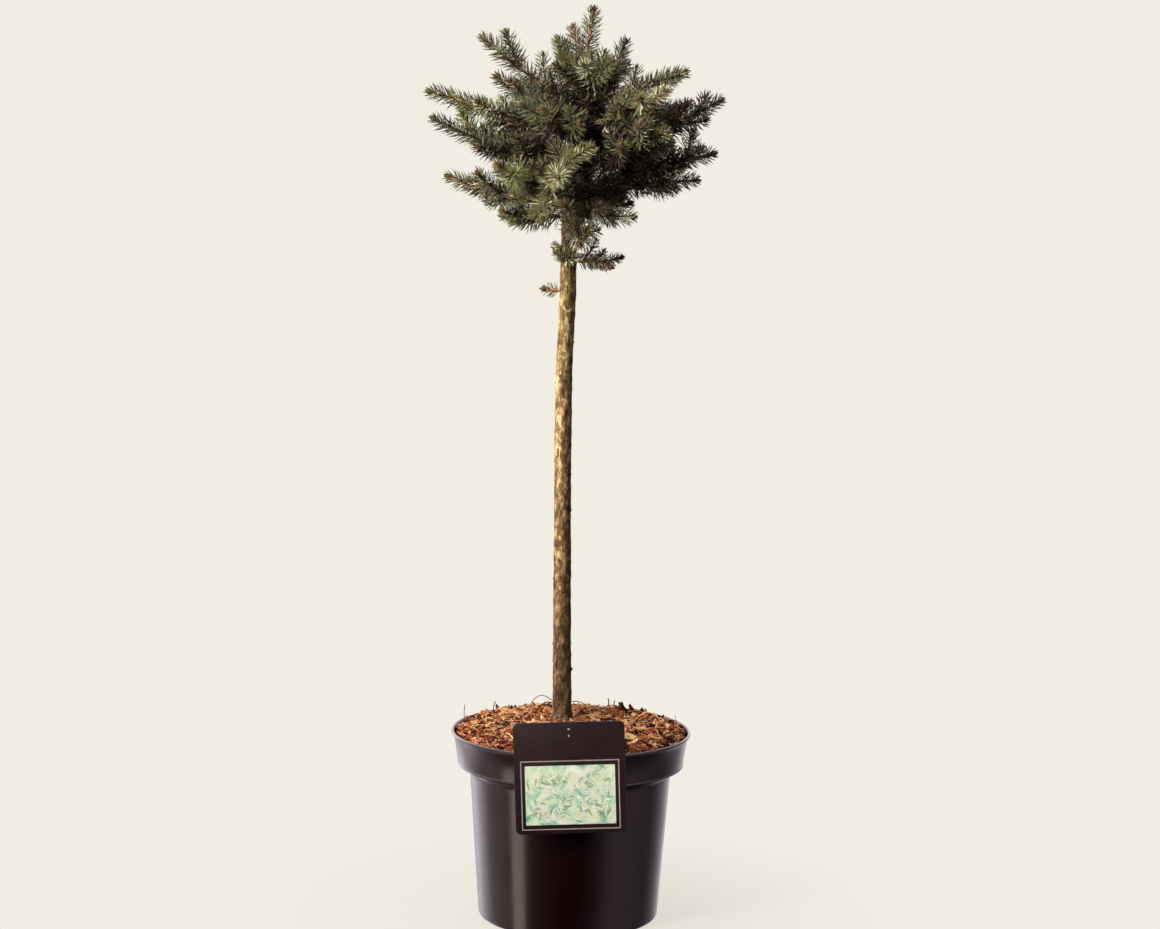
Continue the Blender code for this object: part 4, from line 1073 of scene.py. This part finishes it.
def grow_side_shoot(stem, limb, k, dice, others):
    """One side shoot of a stem, turned to where it has most room, or None if it stays short."""
    share = SIDE_SHOOT_FIRST + SIDE_SHOOT_SPAN * (k + dice.uniform(*SIDE_SHOOT_SCATTER)) / limb.sides
    taper, loss = SIDE_SHOOT_TAPER
    length = SIDE_SHOOT_LENGTH * dice.uniform(*SIDE_SHOOT_VARIETY) * (taper - loss * share)
    sway = dice.uniform(-SIDE_SHOOT_SWAY, SIDE_SHOOT_SWAY)
    first_roll = math.radians(limb.roll + 180 * (k % 2) + sway)
    best_share, best_path = 0.0, None
    for turn in range(ROLL_TRIES):
        roll = first_roll + turn * 2 * math.pi / ROLL_TRIES * (-1)**turn
        path = side_shoot_path(stem, share, roll, math.radians(limb.angle), length)
        clear = clear_share(path, others)
        if clear > best_share:
            best_share, best_path = clear, path
    if best_share * length < SIDE_SHOOT_SHORTEST:
        return None
    path = resample(split_path(best_path, best_share * length)[0], RING_STEP)
    return Shoot(path, CORE_RADIUS, CORE_TIP_RADIUS, 1)


def grow_crown():
    """Middle lines of every bough and of each mass's shoots, the stem first."""
    boughs, masses = grow_stems()
    heights = np.linspace(TRUNK_CLEAR_FROM, TRUNK_STATIONS[-1][0], TRUNK_CLEAR_STOPS)
    wood_lines = [np.array([trunk_at(height)[0] for height in heights])]
    wood_lines += [wood.points for wood in boughs.values()]
    for number, limb in enumerate(LIMBS):
        dice = random.Random(CROWN_SEED + number)
        stem = masses[limb.name][0].points
        for k in range(limb.sides):
            others = wood_lines + [shoot.points for mass in masses.values() for shoot in mass
                                   if shoot.points is not stem]
            shoot = grow_side_shoot(stem, limb, k, dice, others)
            if shoot is not None:
                masses[limb.name].append(shoot)
    return boughs, masses


class Thicket:
    """All the wood that has grown so far, as points close together, to keep twigs apart."""

    def __init__(self, paths):
        self.points = np.concatenate([resample(path, 0.003) for path in paths])

    def clear_length(self, path):
        """How far a twig runs before it comes too near older wood, its own root apart."""
        run = run_along(path)
        away = np.linalg.norm(path[:, None] - self.points[None], axis=2).min(axis=1)
        near = (away < TWIG_AIR) & (run > ROOT_FREE_RUN)
        return run[np.argmax(near)] if near.any() else run[-1]

    def add(self, path):
        self.points = np.concatenate([self.points, resample(path, 0.003)])


def best_twig(thicket, stem, share, roll, angle, length):
    """The longest twig of a few rolls that stays clear of older wood, or None if it's short."""
    best = None
    for turn in range(ROLL_TRIES // 2):
        spin = roll + turn * 2 * math.pi / ROLL_TRIES * (-1)**turn
        path = resample(side_shoot_path(stem, share, spin, angle, length), 0.003)
        clear = thicket.clear_length(path)
        if best is None or clear > best[0]:
            best = (clear, path)
    clear, path = best
    if clear < TWIG_SHORTEST:
        return None
    path = path[run_along(path) <= clear + 1e-9]
    thicket.add(path)
    return Shoot(path, 0.0013, 0.0009, 2)


def grow_twigs(boughs, masses):
    """Add the short twigs to each mass, and give those that grow from the trunk itself."""
    trunk_line = np.array([trunk_at(h)[0] for h in np.linspace(0.74, TRUNK_STATIONS[-1][0], 40)])
    thicket = Thicket([trunk_line] + [wood.points for wood in boughs.values()]
                      + [shoot.points for mass in masses.values() for shoot in mass])
    for name, share, roll, angle, length in OTHER_TWIGS:
        stem = resample(masses[name][0].points, 0.003)
        twig = best_twig(thicket, stem, share, math.radians(roll), math.radians(angle), length)
        if twig is not None:
            masses[name].append(twig)
    for number, (name, mass) in enumerate(masses.items()):
        dice = random.Random(number + 501)
        carriers = [(shoot.points, TWIG_LAST_SHARE) for shoot in mass if shoot.order < 2]
        if name in boughs:
            carriers.insert(0, (boughs[name].points, 1.0))
        for stem, last_share in carriers:
            stem = resample(stem, 0.003)
            length = run_along(stem)[-1]
            start = 0.006 + dice.uniform(0.0, 0.006)
            side = dice.choice((-1, 1))
            while start < last_share * length:
                share = start / length
                reach = TWIG_LONGEST * dice.uniform(0.75, 1.1) * (1.0 - 0.55 * share)
                roll = math.radians(side * 90 + dice.gauss(0.0, 30))
                angle = math.radians(dice.uniform(42, 62))
                place = stem[int(round(share * (len(stem) - 1)))]
                if np.linalg.norm((place - CORE_MIDDLE) / CORE_REACH) < 1.0:
                    twig = best_twig(thicket, stem, share, roll, angle, reach)
                    if twig is not None:
                        mass.append(twig)
                start += TWIG_SPACING * dice.uniform(0.7, 1.3)
                side = -side
    inner = []
    dice = random.Random(77)
    for k, height in enumerate(np.arange(0.765, 0.885, INNER_TWIG_STEP)):
        share = (height - trunk_line[0][2]) / (trunk_line[-1][2] - trunk_line[0][2])
        twig = best_twig(thicket, trunk_line, share, k * math.radians(137.5),
                         math.radians(dice.uniform(55, 80)), INNER_TWIG_LENGTH * dice.uniform(0.7, 1.1))
        if twig is not None:
            inner.append(twig)
    return inner


boughs, masses = grow_crown()
inner_twigs = grow_twigs(boughs, masses)
inner_twigs.append(Shoot(np.array([trunk_at(h)[0] for h in np.linspace(0.852, 0.9141, 16)]), 0.0042,
                         0.0028, 3))

# Boughs: the bare first stretch of each limb, brown and rough with the pegs of fallen
# needles. Each is a tapering rod that swells where it leaves the trunk, and its needled
# stem goes on from its end.
BOUGH_SIDES_STEP = 4
BOUGH_STEP = 0.0010
BOUGH_SUNK = 0.004
BOUGH_COLLAR = 0.0035


def draw_rod(name, line, radii):
    """Round rod bent along a line, with its own radius at each point and closed ends."""
    route = bpy.data.curves.new(name, "CURVE")
    route.dimensions = "3D"
    route.bevel_depth = 1.0
    route.bevel_resolution = BOUGH_SIDES_STEP
    route.use_fill_caps = True
    strand = route.splines.new("POLY")
    strand.points.add(len(line) - 1)
    for point, place, radius in zip(strand.points, line, radii):
        point.co = (*place, 1.0)
        point.radius = radius
    rod = bpy.data.objects.new(name, route)
    bpy.context.scene.collection.objects.link(rod)
    bpy.ops.object.select_all(action="DESELECT")
    rod.select_set(True)
    bpy.context.view_layer.objects.active = rod
    bpy.ops.object.convert(target="MESH")
    bpy.ops.object.mode_set(mode="EDIT")
    bpy.ops.mesh.select_all(action="SELECT")
    bpy.ops.mesh.remove_doubles(threshold=0.00001)
    bpy.ops.mesh.normals_make_consistent(inside=False)
    bpy.ops.object.mode_set(mode="OBJECT")
    return rod


bark = trunk.data.materials[0]
pegs = bpy.data.textures.new("bough_pegs", "CLOUDS")
pegs.noise_scale = 0.0026
pegs.noise_depth = 1
for name, wood in boughs.items():
    inwards = unit(wood.points[0] - wood.points[1])
    outwards = unit(wood.points[-1] - wood.points[-2])
    line = np.vstack([wood.points[0] + inwards * BOUGH_SUNK, wood.points,
                      wood.points[-1] + outwards * 2 * GAP])
    line = resample(line, BOUGH_STEP)
    run = run_along(line)
    radii = np.interp(run, (0.0, run[-1]), (wood.radius, wood.tip_radius * 1.15))
    radii = radii * (1.0 + 0.40 * np.exp(-((run - BOUGH_SUNK) / BOUGH_COLLAR)**2))
    bough = draw_rod("bark_bough_" + name, line, radii)
    apply_modifier(bough, "DISPLACE", texture=pegs, strength=0.0014, mid_level=0.45,
                   texture_coords="LOCAL")
    bough.data.materials.append(bark)
    smooth_by_angle(bough, 60)
    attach(bough, "root")
    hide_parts("bough_" + name)

# Twigs, needles and buds of each mass. A twig is tan to grey-brown and set with woody
# pegs, one under each needle. Needles are stiff, four-angled and a little curved, and
# stand round the twig in a close spiral, leaning forwards near its tip, where a cluster
# of scaly brown buds ends it. Each spray has its own green, dealt out from five.
# Needles deep inside the crown are painted in dark tones as shade, where the crown shades itself.
NEEDLES_PER_METRE = {0: 2650, 1: 2650, 2: 2000, 3: 1100}
GOLDEN_TURN = math.radians(137.508)
NEEDLE_LENGTH = 0.0142
NEEDLE_HALF_WIDTH = 0.00070
NEEDLE_HALF_DEPTH = 0.00052
NEEDLE_RINGS = ((0.0, 0.75), (0.60, 1.00))
NEEDLE_BEND = 0.13
NEEDLE_TONES = (
    ("needle_deep", (0.024, 0.014, 0.010)),
    ("needle_brown", (0.130, 0.088, 0.055)),
    ("needle_grey_green", (0.205, 0.192, 0.108)),
    ("needle_blue_green", (0.135, 0.158, 0.118)),
    ("needle_olive", (0.225, 0.225, 0.080)),
    ("needle_moss", (0.150, 0.205, 0.042)),
    ("needle_pale", (0.640, 0.630, 0.410)),
)
# Share of each needle tone in a kind of spray, and the limbs whose sprays aren't grey
SPRAYS = {
    "grey": (0.19, 0.11, 0.27, 0.13, 0.12, 0.03, 0.15),
    "green": (0.18, 0.06, 0.18, 0.08, 0.20, 0.18, 0.12),
    # Brighter sprays, in part a painted highlight where the key light falls on the front brushes
    "cream": (0.05, 0.04, 0.22, 0.03, 0.34, 0.00, 0.32),
    # Darker sprays, in part painted shade on the limbs away from the key light
    "brown": (0.26, 0.28, 0.19, 0.08, 0.09, 0.00, 0.10),
    # Painted shade: the tones of needles deep in the crown, nearly all of them the darkest
    "inner": (0.80, 0.10, 0.05, 0.02, 0.02, 0.01, 0.00),
}
# Where painted shade takes over the needles, by how deep they stand in the crown's core: all of them at the
# first depth, none at the second
SHADE_DEPTHS = (0.66, 1.12)
# The cream sprays, on the front brushes that catch the key light, are partly painted light, and the brown
# sprays, mostly on the right and back limbs, partly painted shade; the rest of their tone is the needles' own
LIMB_SPRAYS = {
    "mid_left": "green", "lower_mid_left": "green", "low_left_front": "green", "bottom_left": "green",
    "top_left_front": "green", "sprout_left": "green", "front_centre": "cream", "right_front": "cream",
    "right_tuft": "cream", "leader": "brown", "far_right": "brown", "right_low": "brown",
    "right_mid_back": "brown", "sprig": "brown", "high_front": "green", "centre_tuft": "green",
    "rear_mid": "brown", "rear_mid_left": "brown", "rear_mid_right": "brown",
}
SHADE_SPREAD = 0.55
PALE_SIDE_SHARE = 0.22
TWIG_TONES = (
    ("twig_tan", (0.500, 0.255, 0.105)),
    ("twig_brown", (0.130, 0.072, 0.036)),
    ("twig_grey", (0.060, 0.040, 0.026)),
)
TWIG_TONE_SHARES = (0.30, 0.40, 0.30)
BUD_TONES = (
    ("bud_brown", (0.120, 0.068, 0.032)),
    ("bud_scale", (0.300, 0.205, 0.100)),
)
END_BUD_LENGTH = 0.0068
SIDE_BUD_LENGTH = 0.0046
SIDE_BUD_COUNT = 4
SIDE_BUD_ANGLE = math.radians(50)
LOW_MASSES = ("sprout_left", "sprout_right", "sprig")
LOW_NEEDLE_SHARE = 0.66


def needle_faces():
    """Triangles of one needle: three rings of four corners, then its tip."""
    faces = [(0, 2, 1), (0, 3, 2)]
    for ring in range(len(NEEDLE_RINGS) - 1):
        for k in range(4):
            a, b = 4 * ring + k, 4 * ring + (k + 1) % 4
            faces += [(a, b, b + 4), (a, b + 4, a + 4)]
    last = 4 * (len(NEEDLE_RINGS) - 1)
    faces += [(last + k, last + (k + 1) % 4, last + 4) for k in range(4)]
    return np.array(faces)


NEEDLE_FACES = needle_faces()
PEG_FACES = np.array([(0, 1, 3), (1, 2, 3), (2, 0, 3), (0, 2, 1)])


def rows_unit(vectors):
    return vectors / np.linalg.norm(vectors, axis=1, keepdims=True)


def needle_places(shoot, dice, length_share):
    """Where each needle of a shoot stands: its root, direction, bend, length and twig frame."""
    line = resample(shoot.points, 0.002)
    run = run_along(line)
    tangents, side, lift = ring_frames(line)
    bare = {0: 0.002, 1: 0.004, 2: 0.003, 3: 0.0}[shoot.order]
    count = max(int((run[-1] - bare) * NEEDLES_PER_METRE[shoot.order]), 4)
    stops = np.linspace(bare, run[-1], count) + dice.uniform(-0.0002, 0.0002, count)
    stops = np.clip(stops, 0.0, run[-1])

    def along(values):
        return np.stack([np.interp(stops, run, values[:, axis]) for axis in range(3)], axis=1)

    middle, forwards, across, up = along(line), along(tangents), along(side), along(lift)
    rolls = (np.arange(count) * GOLDEN_TURN + dice.normal(0.0, 0.18, count))[:, None]
    away = rows_unit(np.cos(rolls) * across + np.sin(rolls) * up)
    share = stops / run[-1]
    to_tip = run[-1] - stops
    radius = shoot.radius + (shoot.tip_radius - shoot.radius) * share
    angle = np.radians(74.0 - 24.0 * share**2.2 - 14.0 * np.exp(-to_tip / 0.004))
    angle = (angle + dice.normal(0.0, 0.12, count))[:, None]
    direction = np.cos(angle) * forwards + np.sin(angle) * away
    direction = rows_unit(direction + dice.normal(0.0, 0.06, (count, 3)) + (0.0, 0.0, 0.06))
    length = NEEDLE_LENGTH * dice.normal(1.0, 0.09, count) * (1.0 - 0.12 * share**3)
    length *= length_share * (1.0 - 0.42 * np.exp(-to_tip / 0.006))
    return middle, forwards, away, radius, direction, length


def needle_block(places):
    """Points and triangles of all the needles of a shoot."""
    middle, forwards, away, radius, direction, length = places
    root = middle + away * (radius + 0.0004)[:, None]
    bend = rows_unit(forwards - (forwards * direction).sum(1, keepdims=True) * direction)
    across = rows_unit(np.cross(direction, bend))
    deep = np.cross(direction, across)
    corners = []
    for share, width in NEEDLE_RINGS:
        centre = root + length[:, None] * (share * direction + NEEDLE_BEND * share**2 * bend)
        for way, reach in ((across, NEEDLE_HALF_WIDTH), (deep, NEEDLE_HALF_DEPTH),
                           (across, -NEEDLE_HALF_WIDTH), (deep, -NEEDLE_HALF_DEPTH)):
            corners.append(centre + way * reach * width)
    corners.append(root + length[:, None] * (direction + NEEDLE_BEND * bend))
    points = np.stack(corners, axis=1)
    per_needle = points.shape[1]
    faces = NEEDLE_FACES[None] + (np.arange(len(points)) * per_needle)[:, None, None]
    return points.reshape(-1, 3), faces.reshape(-1, 3)


def peg_block(places):
    """Points and triangles of the woody pegs that the needles stand on."""
    middle, forwards, away, radius, direction, length = places
    sideways = np.cross(forwards, away)
    foot = middle + away * (radius * 0.8)[:, None] - forwards * 0.0006
    corners = []
    for angle in np.radians((0, 120, 240)):
        corners.append(foot + 0.0007 * (math.cos(angle) * sideways + math.sin(angle) * 1.4 * forwards))
    corners.append(middle + away * (radius + 0.0008)[:, None] + direction * 0.0006)
    points = np.stack(corners, axis=1)
    faces = PEG_FACES[None] + (np.arange(len(points)) * 4)[:, None, None]
    return points.reshape(-1, 3), faces.reshape(-1, 3)


def bud_shape():
    """Bud one unit long, pointing along +Z, with a tier of scales, and its faces' tones."""
    sides, rings = 5, ((0.0, 0.24), (0.30, 0.36), (0.68, 0.26))
    points = [(r * math.cos(2 * math.pi * k / sides), r * math.sin(2 * math.pi * k / sides), z)
              for z, r in rings for k in range(sides)]
    points += [(0.0, 0.0, -0.05), (0.0, 0.0, 1.0)]
    foot, tip, faces = len(points) - 2, len(points) - 1, []
    for ring in range(len(rings) - 1):
        for k in range(sides):
            a, b = ring * sides + k, ring * sides + (k + 1) % sides
            faces += [(a, b, b + sides), (a, b + sides, a + sides)]
    last = (len(rings) - 1) * sides
    for k in range(sides):
        j = (k + 1) % sides
        faces += [(j, k, foot), (last + k, last + j, tip)]
    tones = [0] * len(faces)
    for k in range(sides):
        angle = 2 * math.pi * (k + 0.5) / sides
        start = len(points)
        for spread, r, z in ((-0.5, 0.30, 0.10), (0.5, 0.30, 0.10), (0.0, 0.52, 0.52), (0.0, 0.22, 0.34)):
            points.append((r * math.cos(angle + spread), r * math.sin(angle + spread), z))
        a, b, c, d = range(start, start + 4)
        faces += [(a, b, c), (b, a, d), (b, d, c), (d, a, c)]
        tones += [1] * 4
    return np.array(points), np.array(faces), np.array(tones)


BUD_POINTS, BUD_FACES, BUD_FACE_TONES = bud_shape()


def bud_block(at, direction, length, spin):
    """One bud placed at a twig's tip, as a block for join_arrays."""
    helper = np.array((0.0, 0.0, 1.0)) if abs(direction[2]) < 0.9 else np.array((1.0, 0.0, 0.0))
    side = unit(np.cross(helper, direction))
    lift = np.cross(direction, side)
    first = math.cos(spin) * side + math.sin(spin) * lift
    second = np.cross(direction, first)
    points = length * BUD_POINTS @ np.stack([first, second, direction])
    return points + at, BUD_FACES, BUD_FACE_TONES


def bud_cluster(shoot, dice):
    """The end bud of a shoot and the smaller ones round it."""
    tip = shoot.points[-1]
    forwards = unit(shoot.points[-1] - shoot.points[-2])
    size = END_BUD_LENGTH if shoot.order < 2 else SIDE_BUD_LENGTH
    blocks = [bud_block(tip - forwards * 0.1 * size, forwards, size, dice.uniform(0, 6))]
    for k in range(SIDE_BUD_COUNT if shoot.order < 2 else 0):
        direction = side_direction(forwards, 2 * math.pi * k / SIDE_BUD_COUNT + dice.uniform(0, 0.6),
                                   SIDE_BUD_ANGLE)
        blocks.append(bud_block(tip - forwards * 0.0012, direction, SIDE_BUD_LENGTH, dice.uniform(0, 6)))
    return blocks


def shoot_blocks(shoot, dice, length_share, shades):
    """Blocks of one shoot: its needles in shares of their tones, its twig with pegs, and its buds."""
    places = needle_places(shoot, dice, length_share)
    points, faces = needle_block(places)
    shades = np.array(shades)
    if shoot.order:
        shades[-1] *= PALE_SIDE_SHARE
    shades /= shades.sum()
    main_tone = dice.choice(len(shades), p=shades)
    count = len(places[0])
    tones = np.where(dice.random(count) < SHADE_SPREAD, dice.choice(len(shades), count, p=shades), main_tone)
    # Painted shade: needles deep inside the crown take the dark inner tones, where the crown shades itself
    depth = np.linalg.norm((places[0] - CORE_MIDDLE) / CORE_REACH, axis=1)
    shaded = dice.random(count) < np.interp(depth, SHADE_DEPTHS, (1.0, 0.0))
    tones = np.where(shaded, dice.choice(len(shades), count, p=SPRAYS["inner"]), tones)
    needles = (points, faces, np.repeat(tones, len(NEEDLE_FACES)))
    wood_tone = int(dice.choice(3, p=TWIG_TONE_SHARES)) if shoot.order < 2 else 2
    if shoot.order == 3 or shoot is masses["leader"][0]:
        wood_tone = 0
    line = resample(shoot.points, 0.003)
    radii = np.linspace(shoot.radius, shoot.tip_radius, len(line))
    twigs = [(*tube(line, radii, 6), wood_tone)]
    if shoot.order < 2:
        twigs.append((*peg_block(places), wood_tone))
    buds = [] if shoot.order == 3 else bud_cluster(shoot, dice)
    return needles, twigs, buds




def plain_finishes(tones, roughness):
    """Plain finishes of needles, twigs or buds, with little shine."""
    finishes = []
    for name, colour in tones:
        finish, shader = new_finish(name, colour, roughness)
        shader.inputs["Specular IOR Level"].default_value = 0.28
        finishes.append(finish)
    return finishes


needle_finishes = plain_finishes(NEEDLE_TONES, 0.50)
twig_finishes = plain_finishes(TWIG_TONES, 0.80)
bud_finishes = plain_finishes(BUD_TONES, 0.60)
for number, (name, shoots) in enumerate([*masses.items(), ("inner", inner_twigs)]):
    dice = np.random.default_rng(number + 900)
    needles, twigs, buds = [], [], []
    length_share = LOW_NEEDLE_SHARE if name in LOW_MASSES else 1.0
    # The inner twigs' needles all take the inner tones, painted shade
    shades = SPRAYS["inner" if name == "inner" else LIMB_SPRAYS.get(name, "grey")]
    for shoot in shoots:
        some_needles, some_twigs, some_buds = shoot_blocks(shoot, dice, length_share, shades)
        needles.append(some_needles)
        twigs += some_twigs
        buds += some_buds
    pieces = [join_arrays("needles_" + name, needles, needle_finishes),
              join_arrays("twigs_" + name, twigs, twig_finishes),
              join_arrays("buds_" + name, buds, bud_finishes)]
    for piece in pieces:
        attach(piece, "root")
        if name in masses:
            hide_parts("foliage_" + name)

# Studio: a pale floor that runs out into an even cream background, a broad soft light
# high on the left, a weaker one on the right, and the camera at the eye's height.
CREAM = (0.881, 0.847, 0.764)
FLOOR_COLOUR = (0.62, 0.60, 0.55)
BRIGHT_SIDE = (-0.35, 0.93, 0.10)
# Air that lights the surfaces, from the side away from the bright one to the bright one
SOFT_AIR = ((0.35, (0.030, 0.026, 0.025)), (1.0, (1.0, 0.92, 0.94)))
SOFT_AIR_STRENGTH = 0.75
# Air that shines back from the plastic, in degrees round to the left from the viewer
GLOSS_AIR = (
    (10, (0.005, 0.003, 0.003)), (27, (0.031, 0.021, 0.022)), (48, (0.060, 0.042, 0.044)),
    (66, (0.100, 0.072, 0.072)), (88, (0.225, 0.185, 0.185)), (112, (0.250, 0.215, 0.230)),
    (126, (0.440, 0.400, 0.425)), (146, (0.460, 0.430, 0.460)), (162, (0.215, 0.202, 0.215)),
    (200, (0.215, 0.202, 0.212)), (228, (0.120, 0.110, 0.116)), (246, (0.060, 0.050, 0.055)),
    (262, (0.100, 0.077, 0.089)), (276, (0.145, 0.108, 0.122)), (296, (0.185, 0.135, 0.148)),
    (310, (0.155, 0.115, 0.125)), (324, (0.058, 0.040, 0.045)), (340, (0.005, 0.003, 0.003)),
)
GLOSS_AIR_STRENGTH = 9.0
# How much of that air is left in directions below the level, by their height
LOW_AIR = ((0.17, 0.12), (0.24, 0.35), (0.30, 0.28), (0.345, 0.50), (0.42, 0.60), (0.46, 1.0))
CAMERA_PLACE = Vector((0.0, -2.5, 0.7565))
CAMERA_YAW = 0.001867
CAMERA_PITCH = 0.10505
CAMERA_ROLL = 0.01813
CAMERA_LENS = 72.754


def studio_floor():
    """Pale floor that fades into the backdrop and is kept out of the pot's gloss."""
    finish, shader = new_finish("studio_floor", FLOOR_COLOUR, 0.9)
    shader.inputs["Specular IOR Level"].default_value = 0.1
    tree = finish.node_tree
    place = add_node(finish, "ShaderNodeTexCoord", {}).outputs["Object"]
    away = add_node(finish, "ShaderNodeVectorMath", {0: place}, operation="LENGTH").outputs["Value"]
    fade = add_node(finish, "ShaderNodeMapRange", {"Value": away, "From Min": 0.10, "From Max": 0.42,
                                                   "To Min": 0.80, "To Max": 1.0},
                    interpolation_type="SMOOTHSTEP").outputs["Result"]
    glow = add_node(finish, "ShaderNodeEmission", {"Color": (*CREAM, 1.0)}).outputs[0]
    seen = add_node(finish, "ShaderNodeMixShader", {0: fade, 1: shader.outputs[0], 2: glow}).outputs[0]
    clear = add_node(finish, "ShaderNodeBsdfTransparent", {}).outputs[0]
    is_camera = add_node(finish, "ShaderNodeLightPath", {}).outputs["Is Camera Ray"]
    mix = add_node(finish, "ShaderNodeMixShader", {0: is_camera, 1: clear, 2: seen})
    tree.links.new(mix.outputs[0], tree.nodes["Material Output"].inputs["Surface"])
    return finish


bpy.ops.object.select_all(action="DESELECT")
bpy.ops.mesh.primitive_circle_add(vertices=128, radius=9.0, fill_type="NGON", location=(0, 0, -0.0002))
floor = bpy.context.object
floor.name = "studio_floor"
floor.data.materials.append(studio_floor())

world = bpy.data.worlds.new("studio_air")
bpy.context.scene.world = world
world.use_nodes = True
seen = world.node_tree.nodes["Background"]
seen.inputs["Color"].default_value = (*CREAM, 1.0)
way = add_node(world, "ShaderNodeTexCoord", {}).outputs["Generated"]
towards = add_node(world, "ShaderNodeVectorMath", {0: way, 1: BRIGHT_SIDE},
                   operation="DOT_PRODUCT").outputs["Value"]
turned = add_node(world, "ShaderNodeMapRange", {"Value": towards, "From Min": -1.0}).outputs["Result"]
parts = add_node(world, "ShaderNodeSeparateXYZ", {"Vector": way})
bearing = add_node(world, "ShaderNodeMath", {0: parts.outputs["X"], 1: parts.outputs["Y"]},
                   operation="ARCTAN2").outputs[0]
bearing = add_node(world, "ShaderNodeMapRange", {"Value": bearing, "From Min": -math.pi,
                                                 "From Max": math.pi}).outputs["Result"]
level = add_node(world, "ShaderNodeMapRange", {"Value": parts.outputs["Z"], "From Min": -1.0}).outputs["Result"]
round_about = ramp(world, bearing, [(degrees / 360, colour) for degrees, colour in GLOSS_AIR])
gloss = blend_colours(world, 1.0, round_about, ramp(world, level, LOW_AIR), "MULTIPLY")
airs = [add_node(world, "ShaderNodeBackground", {"Color": colour, "Strength": strength}).outputs[0]
        for colour, strength in ((ramp(world, turned, SOFT_AIR), SOFT_AIR_STRENGTH),
                                 (gloss, GLOSS_AIR_STRENGTH))]
ray = add_node(world, "ShaderNodeLightPath", {})
unseen = add_node(world, "ShaderNodeMixShader", {0: ray.outputs["Is Glossy Ray"], 1: airs[0],
                                                 2: airs[1]}).outputs[0]
whole = add_node(world, "ShaderNodeMixShader", {0: ray.outputs["Is Camera Ray"], 1: unseen,
                                                2: seen.outputs[0]}).outputs[0]
world.node_tree.links.new(whole, world.node_tree.nodes["World Output"].inputs["Surface"])


def soft_light(name, place, target, size, power, colour, spread=180.0, shines=True):
    """Square softbox that faces a target, its grid narrowing the beam to a spread in degrees."""
    bpy.ops.object.light_add(type="AREA", location=place)
    lamp = bpy.context.object
    lamp.name = name
    lamp.data.shape = "RECTANGLE"
    lamp.data.size, lamp.data.size_y = size
    lamp.data.energy = power
    lamp.data.color = colour
    lamp.data.spread = math.radians(spread)
    lamp.visible_glossy = shines
    lamp.rotation_euler = (Vector(target) - Vector(place)).to_track_quat("-Z", "Y").to_euler()


soft_light("key_softbox", (-1.7, -1.9, 1.8), (0, 0, 0.6), (0.6, 0.9), 96.0, (1.0, 0.97, 0.91))
soft_light("fill_softbox", (1.9, -1.9, 0.9), (0, 0, 0.5), (0.7, 1.2), 5.0, (1.0, 0.85, 0.85), shines=False)
soft_light("stem_softbox", (-2.04, -0.74, 0.48), (0, 0, 0.48), (0.3, 0.3), 1.9, (1.0, 0.91, 0.79), 18.0, False)
soft_light("crown_softbox", (-0.9, -2.3, 1.7), (0, 0, 0.85), (0.5, 0.5), 0.25, (1.0, 0.96, 0.88), 12.0)
soft_light("top_softbox", (-0.3, 0.6, 2.4), (0, 0, 0.8), (1.2, 1.2), 20.0, (1.0, 0.98, 0.95))
soft_light("low_strip", (-2.0, -0.95, -0.55), (0, 0, 0.08), (0.62, 1.5), 8.0, (1.0, 0.87, 0.74))

bpy.ops.object.camera_add(location=CAMERA_PLACE)
camera = bpy.context.object
camera.name = "studio_camera"
camera.data.lens = CAMERA_LENS
camera.data.clip_start = 0.05
forwards = Vector((math.sin(CAMERA_YAW) * math.cos(CAMERA_PITCH), math.cos(CAMERA_YAW) * math.cos(CAMERA_PITCH),
                   -math.sin(CAMERA_PITCH)))
right = Vector((math.cos(CAMERA_YAW), -math.sin(CAMERA_YAW), 0.0))
up = right.cross(forwards)
turned_right = math.cos(CAMERA_ROLL) * right + math.sin(CAMERA_ROLL) * up
turned_up = math.cos(CAMERA_ROLL) * up - math.sin(CAMERA_ROLL) * right
camera.matrix_world = Matrix.Translation(CAMERA_PLACE) @ Matrix(
    (turned_right, turned_up, -forwards)).transposed().to_4x4()
bpy.context.scene.camera = camera
bpy.context.scene.view_settings.view_transform = "Standard"
